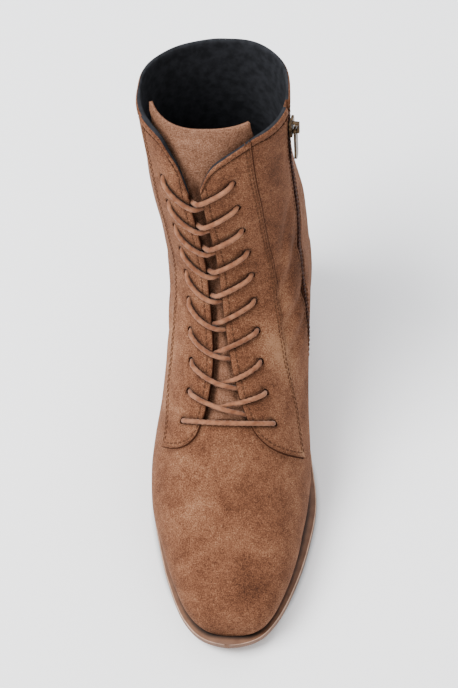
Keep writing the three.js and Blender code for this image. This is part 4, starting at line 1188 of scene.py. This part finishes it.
def eyelet_passage(k, side, upward):
    """Through an eyelet, from below the wall to on top of the facing."""
    q = eyelet_station(k)
    w = float(eyelet_distance(q, side))
    places = [lace_place(q, w + side * 0.9, -UNDER_WALL + 0.4), lace_place(q, w, -UPPER_WALL / 2 + 0.4)]
    return places if upward else places[::-1]


def strand_drop(share, hidden):
    """How far a strand has dropped at a share of the gap; one that passes under another drops early."""
    late = ease((share - 0.3) / 0.7) * LACE_DROP
    early = ease((share + 0.25) / 0.9) * (LACE_DROP + 1.4)
    return early if hidden else late


def strand_finish(k, side):
    """Station at which a strand ends: just below the next eyelet, beside the bar in the last row."""
    return eyelet_station(k - 1) - (0 if k == 1 else STRAND_DIP[side])


def under_lateral(k, share):
    """Station and distance under the outer side's strand, at a share of the gap from its facing."""
    start, finish = eyelet_station(k), strand_finish(k, -1)
    begin = float(eyelet_distance(start, -1))
    end = float(gap_edge(finish, 1)) - LACE_STOP
    w = lerp(float(gap_edge(finish, -1)), end, share)
    t = (w - begin) / (end - begin)
    return lerp(start, finish, 1 - (1 - t) ** STRAND_SAG[-1]) - HIDDEN_SHIFT / FRONT_LENGTH, w


def strand_places(k, side):
    """On top from an eyelet to the gap, then under the far facing to the next lower eyelet."""
    start, finish = eyelet_station(k), strand_finish(k, side)
    begin = float(eyelet_distance(start, side))
    end = float(gap_edge(finish, -side)) + side * LACE_STOP
    sag = STRAND_SAG[side]
    hidden = side > 0 and k <= LOWEST_CROSSINGS
    if hidden:
        finish, end = under_lateral(k, 0.3)
        sag = LOWEST_SAG
    edge = (float(gap_edge(finish, side)) - begin) / (end - begin)
    places = []
    for t in (0.09, edge / 3 + 0.03, 2 * edge / 3, edge, (1 + edge) / 2, 1):
        q = lerp(start, finish, 1 - (1 - t) ** sag)
        drop = strand_drop((t - edge) / (1 - edge), hidden)
        rise = over_facing(q) - 0.6 * math.exp(-((t - 0.09) / 0.03) ** 2)
        places.append(lace_place(q, lerp(begin, end, t), rise - drop))
    if hidden:
        finish, end = under_lateral(k, 0)
        places.append(lace_place(finish, end, over_facing(finish) - LACE_DROP - 1.6))
    target = eyelet_station(k - 1)
    far = float(eyelet_distance(target, -side))
    for t in (0.3, 0.75):
        places.append(lace_place(lerp(finish, target, t), lerp(end - side * 3, far, t), -UNDER_WALL))
    return places


def strands_down(side):
    """From a top eyelet down to the lowest pair, changing sides at each pair of eyelets."""
    places = []
    for k in range(EYELET_PAIRS - 1, 0, -1):
        places += eyelet_passage(k, side, True) + strand_places(k, side)
        side = -side
    return places, side


def lace_route():
    top_side = -1 if EYELET_PAIRS % 2 else 1
    route, side = strands_down(top_side)
    q = eyelet_station(0)
    begin, end = float(eyelet_distance(q, side)), float(eyelet_distance(q, -side))
    route += eyelet_passage(0, side, True)
    for t in (0.05, 0.25, 0.5, 0.75, 0.95):
        forward = BAR_SAG / FRONT_LENGTH * math.sin(math.pi * t)
        route.append(lace_place(q - forward, lerp(begin, end, t), over_facing(q) - 0.3))
    route += eyelet_passage(0, -side, False)
    back, side = strands_down(-top_side)
    return route + back[::-1]


def make_lace():
    points, length = evenly(lace_route(), LACE_STEP)
    run = np.arange(len(points))[:, None] * LACE_STEP
    angle = (np.arange(LACE_SIDES) * 2 * math.pi / LACE_SIDES)[None, :]
    turn = run * 2 * math.pi / BRAID_PITCH
    braid = np.cos(4 * angle + turn) + np.cos(4 * angle - turn)
    radius = LACE_RADIUS * (1 + BRAID_RELIEF * braid) - BRAID_RELIEF * LACE_RADIUS
    piece = add_piece("lace", *tube_mesh(points, radius, LACE_SIDES), [LACE_CORD])
    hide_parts("lace_bar", *[f"lace_crossing_{k:02d}" for k in range(1, EYELET_PAIRS)])
    print("lace length in millimetres", round(length))


make_lace()


# Stitches: short threads laid end to end along each seam
STITCH_PITCH = 3
STITCH_LENGTH = 2.3
STITCH_WIDTH = 0.62
STITCH_SIDES = 8
STITCH_RINGS = 6
STITCH_TIP = 0.28
STITCH_CROWN = 0.2
STITCH_SINK = 0.12


def stitch_row(path):
    """Threads along a path of points with their outward directions."""
    points, normals = path
    length = run_along(points)
    count = int(length[-1] / STITCH_PITCH)
    swell = np.sin(np.linspace(STITCH_TIP, math.pi - STITCH_TIP, STITCH_RINGS))
    radius = np.repeat((STITCH_WIDTH / 2 * swell ** 0.5)[:, None], STITCH_SIDES, 1)
    threads = []
    for n in range(count):
        middle = (n + 0.5) * length[-1] / count
        marks = middle + np.linspace(-0.5, 0.5, STITCH_RINGS) * STITCH_LENGTH
        lift = points_at(middle, length, normals)
        centre = points_at(marks, length, points) + lift * (swell[:, None] * STITCH_CROWN - STITCH_SINK)
        threads.append(tube_mesh(centre, radius, STITCH_SIDES))
    return joined(threads)


def seam_path(q, w, offset):
    q, w = np.asarray(q, float), np.asarray(w, float)
    calm = ease((half_length(q, -1) + w) / SEAM_CALM) * ease((half_length(q, 1) - w) / SEAM_CALM)
    relief = upper_relief(q, w) * calm
    share = share_at(q, w)
    normal = outward(q, share)
    return surface(q, share) + normal * (offset + relief)[..., None], normal


ROW_STEPS = 160
ROWS_END = 0.978
SEAM_INSETS = (1.5, 3.5)
GAP_ROW_INSET = 3.4
ZIP_ROW_MARGIN = 2


def seam_rows():
    rows = []
    step = 1 / FRONT_LENGTH
    for side in (-1, 1):
        for inset in SEAM_INSETS:
            q = np.linspace(TAB_EDGE[-1][1] + 3 * step, ROWS_END, ROW_STEPS)
            rows.append(seam_path(q, facing_seam(q, side) - side * inset, facing_height(q)))
            share = np.linspace(0.06, 0.95, ROW_STEPS)
            edge = read_table(TAB_EDGE, share)
            q = edge + inset * step
            w = lerp(gap_edge(q, side), facing_seam(q, side), share)
            rows.append(seam_path(q, w, facing_height(q)))
        q = np.linspace(TAB_EDGE[0][1] + 0.005, 0.9, ROW_STEPS)
        rows.append(seam_path(q, gap_edge(q, side) + side * GAP_ROW_INSET, facing_height(q)))
        q = np.linspace(ZIP_FOOT - 4 * step, ROWS_END, ROW_STEPS)
        rows.append(seam_path(q, zip_distance(q) + side * (ZIP_WIDTH / 2 + ZIP_ROW_MARGIN), 0 * q))
    return rows


def collar_rows():
    """One row below the folded rim on each side of the throat."""
    collar = collar_stations()
    probe = np.full(len(collar), COLLAR_PROBE)
    w = column_distances(probe[None, :])[0]
    share = share_at(probe, w)
    rows = []
    lateral = slice(1, BAND_START[GAP_LINE_L])
    medial = slice(BAND_START[GAP_LINE_M] + 1, -1)
    for part in (lateral, medial):
        q = collar[part] - RIM_DISTANCES[0] / FRONT_LENGTH
        mine = share[part] * side_length(q, share[part])
        inside = (w[part] > facing_seam(q, -1)) & (w[part] < facing_seam(q, 1))
        rows.append(seam_path(q, mine, np.where(inside, facing_height(q), 0)))
    return rows


def make_stitches():
    points, faces = joined([stitch_row(path) for path in seam_rows() + collar_rows()])
    piece = add_piece("stitches", points, faces, [THREAD])


make_stitches()


# Zip: two woven tapes in the groove with a closed row of moulded teeth between them
TOOTH_PITCH = 1.35
TOOTH_WIDTH = 3
TOOTH_SHIFT = 0.45
TOOTH_TOP = 0.65
TOOTH_ROOT = -0.9
TOOTH_CHAMFER = 0.3
TOOTH_CROWN = 0.72
TOOTH_HALF = np.array([TOOTH_WIDTH / 2, TOOTH_PITCH * 0.36])
TOOTH_OUTLINE = np.array([
    (-1, -0.6), (-0.8, -1), (0.8, -1), (1, -0.6), (1, 0.6), (0.8, 1), (-0.8, 1), (-1, 0.6),
])
TAPE_TOP = -0.3
TAPE_EDGE = -0.45
TAPE_FOOT = -0.85
TAPE_BEVEL = 0.5
ZIP_FOOT_ROOM = 4


def tooth(centre, down, sideways, out):
    """One chamfered tooth as three stacked rings."""
    verts = []
    for height, scale in ((TOOTH_ROOT, 1), (TOOTH_TOP - TOOTH_CHAMFER, 1), (TOOTH_TOP, TOOTH_CROWN)):
        ring = TOOTH_OUTLINE * TOOTH_HALF * scale
        verts.append(centre + ring[:, :1] * sideways + ring[:, 1:] * down + out * height)
    return np.vstack(verts), tube_faces(len(verts), len(TOOTH_OUTLINE))


def make_zip():
    start = ZIP_FOOT + ZIP_FOOT_ROOM / FRONT_LENGTH
    count = int((ZIP_HEAD - start) * FRONT_LENGTH / TOOTH_PITCH)
    q = np.linspace(start, ZIP_HEAD, count)
    share = share_at(q, zip_distance(q))
    centre, normal = surface(q, share), outward(q, share)
    down = unit(np.gradient(centre, axis=0))
    sideways = np.cross(down, normal)
    half = ZIP_WIDTH / 2 - SEAT_GAP
    profile = [(-half, TAPE_FOOT), (-half, TAPE_EDGE), (-half + TAPE_BEVEL, TAPE_TOP),
               (half - TAPE_BEVEL, TAPE_TOP), (half, TAPE_EDGE), (half, TAPE_FOOT)]
    tapes = np.array([centre + sideways * x + normal * z for x, z in profile]).transpose(1, 0, 2)
    tape_faces = tube_faces(count, len(profile))
    parts = [(tapes.reshape(-1, 3), tape_faces)]
    for n in range(count):
        shift = TOOTH_SHIFT if n % 2 else -TOOTH_SHIFT
        parts.append(tooth(centre[n] + sideways[n] * shift, down[n], sideways[n], normal[n]))
    points, faces = joined(parts)
    slots = [0] * len(tape_faces) + [1] * (len(faces) - len(tape_faces))
    piece = add_piece("zip_chain", points, faces, [ZIP_TAPE, ZIP_TOOTH], face_slots=slots)
    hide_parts("zip_teeth")


make_zip()


# Sole plate: a rubber plate with a rounded edge round the top, where a lighter band is a painted
# highlight
SOLE_STATIONS = 260
EDGE_ROUNDING = 0.9
HIGHLIGHT_CELLS = (1, 2)
TREAD_PITCH = 7
TREAD_DEPTH = 0.9
TREAD_SLANT = 0.35
TREAD_FRONT = 12
TREAD_BACK = 0.42 * SOLE_LENGTH
TREAD_POINTS = 40
TREAD_REACH = 0.97
END_ROOM = 0.05


def tread(x, y):
    """Chevron grooves across the ball, none on the shank."""
    chevron = y + TREAD_SLANT * np.abs(x)
    groove = np.clip(2.5 * (np.cos(chevron * 2 * math.pi / TREAD_PITCH) - 0.35), 0, 1)
    inside = ease((y - TREAD_FRONT) / 6) * (1 - ease((y - TREAD_BACK) / 8))
    return TREAD_DEPTH * groove * inside


def make_outsole():
    halves = outline_halves(0)
    first, last = halves[1][0, 0] + END_ROOM, halves[1][-1, 0] - END_ROOM
    y = lerp(first, last, (1 - np.cos(np.linspace(0, math.pi, SOLE_STATIONS))) / 2)
    left, right = across(halves[-1], y), across(halves[1], y)
    low = sole_underside(y)
    high = low + SOLE_THICKNESS
    inset = np.minimum(EDGE_ROUNDING, (right - left) / 6)
    middle = (left + right) / 2
    half = (right - left) / 2
    profile = []
    for share in np.linspace(-TREAD_REACH, TREAD_REACH, TREAD_POINTS):
        x = middle + share * (half - inset)
        edge_calm = ease((half - np.abs(x - middle)) / 6)
        profile.append((x, low + tread(x, y) * edge_calm, 0))
    for step_in, step_up in QUARTER_ROUND[::-1]:
        profile.append((right - inset * step_in, low + inset * step_up, 0))
    # The middle cells of the top rounding take the lighter colour, a painted highlight
    for k, (step_in, step_up) in enumerate(QUARTER_ROUND):
        profile.append((right - inset * step_in, high - inset * step_up, int(k in HIGHLIGHT_CELLS)))
    for k, (step_in, step_up) in enumerate(QUARTER_ROUND[::-1]):
        highlighted = len(QUARTER_ROUND) - 2 - k in HIGHLIGHT_CELLS
        profile.append((left + inset * step_in, high - inset * step_up, int(highlighted)))
    for step_in, step_up in QUARTER_ROUND:
        profile.append((left + inset * step_in, low + inset * step_up, 0))
    grid = np.array([np.stack([x, y, z], -1) for x, z, slot in profile]).transpose(1, 0, 2)
    faces = tube_faces(SOLE_STATIONS, len(profile))
    slots = [slot for x, z, slot in profile] * (SOLE_STATIONS - 1) + [0, 0]
    piece = add_piece("sole_plate", grid.reshape(-1, 3), faces, [SOLE_RUBBER, SOLE_EDGE_HIGHLIGHT],
                      face_slots=slots)
    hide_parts("outsole")


make_outsole()


# Heel: a suede-covered block on a hard rubber lift, both tapering on one outline
HEEL_FOOT = 0.93
BREAST_HOLLOW = 0.05
HEEL_STEPS = 60
BREAST_STEPS = 24
HEEL_ROUNDING = 0.7
HEEL_RADIUS = 30
HEEL_LEVELS = 12
HEEL_EDGE_ROOM = 1


def heel_outline():
    """Around the heel from the breast's inner corner by the back to its outer corner and across."""
    turn = np.linspace(0, 1, HEEL_STEPS + 1)
    along = lerp(HEEL_FRONT, HEEL_END, np.sin(math.pi / 2 * turn))
    inner = np.stack([across(HEEL_HALVES[1], along), along], -1)
    outer = np.stack([across(HEEL_HALVES[-1], along), along], -1)[::-1][1:]
    f = np.arange(1, BREAST_STEPS) / BREAST_STEPS
    hollow = BREAST_HOLLOW * (HEEL_END - HEEL_FRONT)
    front = np.stack([lerp(outer[-1, 0], inner[0, 0], f), HEEL_FRONT + hollow * np.sin(math.pi * f)], -1)
    return np.vstack([inner, outer, front])


def heel_piece(name, low, high, material, node):
    outline = heel_outline()
    centre = HEEL_CENTRE[:2]
    levels = [(low + HEEL_ROUNDING * up, HEEL_ROUNDING * inward) for inward, up in QUARTER_ROUND[::-1]]
    levels += [(lerp(low + HEEL_EDGE_ROOM, high - HEEL_EDGE_ROOM, f), 0)
               for f in np.linspace(0, 1, HEEL_LEVELS)]
    levels += [(high - HEEL_ROUNDING * up, HEEL_ROUNDING * inward) for inward, up in QUARTER_ROUND]
    rings = []
    for z, inset in levels:
        scale = lerp(HEEL_FOOT, 1, z / HEEL_HEIGHT) - inset / HEEL_RADIUS
        flat = centre + (outline - centre) * scale
        rings.append(np.column_stack([flat, np.full(len(flat), z)]))
    piece = add_piece(name, np.vstack(rings), tube_faces(len(rings), len(outline)), [material])
    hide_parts(node)


heel_piece("heel_cover", LIFT_THICKNESS + SEAT_GAP, HEEL_HEIGHT - SEAT_GAP, HEEL_SUEDE,
           "heel_block")
heel_piece("top_lift", 0, LIFT_THICKNESS, LIFT_RUBBER, "heel_lift")


# Carried-over pieces: the sock board, the slider and its pull keep the part's shapes
def dress_node(name, material):
    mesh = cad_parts[name].data
    mesh.materials.clear()
    mesh.materials.append(material)


for node_name, node_material in (
        ("upper", SUEDE), ("tongue", TONGUE_SUEDE_PAINTED_LIGHTER), ("outsole", SOLE_RUBBER),
        ("heel_block", HEEL_SUEDE), ("heel_lift", LIFT_RUBBER), ("insole", INSOLE_LEATHER),
        ("zip_teeth", ZIP_TOOTH), ("zip_slider", BRASS), ("zip_pull", BRASS), ("lace_bar", LACE_CORD)):
    dress_node(node_name, node_material)
for k in range(1, EYELET_PAIRS):
    dress_node(f"lace_crossing_{k:02d}", LACE_CORD)


# Studio: a plain pale floor, a near-white surround and large soft lamps
FLOOR_HALF = 6


def make_floor():
    mesh = bpy.data.meshes.new("floor")
    corners = [(x * FLOOR_HALF, y * FLOOR_HALF, 0) for x, y in ((-1, -1), (1, -1), (1, 1), (-1, 1))]
    mesh.from_pydata(corners, [], [(0, 1, 2, 3)])
    floor = bpy.data.objects.new("floor", mesh)
    bpy.context.collection.objects.link(floor)
    mesh.materials.append(plain_goods("floor_painted_board", "fafbfc", "ffffff", 0.85, 40, 0.0))


# Lamps: place, aim, size in metres, power in watts and colour
LAMPS = (
    ((-0.9, -0.3, 1.5), (0, 0, 0.1), 1.0, 62, "ffffff"),
    ((1.0, -0.9, 1.3), (0, 0, 0.1), 1.2, 6, "fff6ee"),
    ((0.2, 1.1, 1.2), (0, 0, 0.12), 1.2, 18, "f2f6ff"),
)


def make_lights():
    world = bpy.data.worlds.new("surround")
    bpy.context.scene.world = world
    world.use_nodes = True
    background = world.node_tree.nodes["Background"]
    background.inputs["Color"].default_value = linear("f3f4f6")
    background.inputs["Strength"].default_value = 1.0
    for place, aim, size, power, colour in LAMPS:
        data = bpy.data.lights.new("lamp", "AREA")
        data.size = size
        data.energy = power
        data.color = linear(colour)[:3]
        lamp = bpy.data.objects.new("lamp", data)
        lamp.location = place
        lamp.rotation_euler = (Vector(aim) - Vector(place)).to_track_quat("-Z", "Y").to_euler()
        bpy.context.collection.objects.link(lamp)


make_floor()
make_lights()
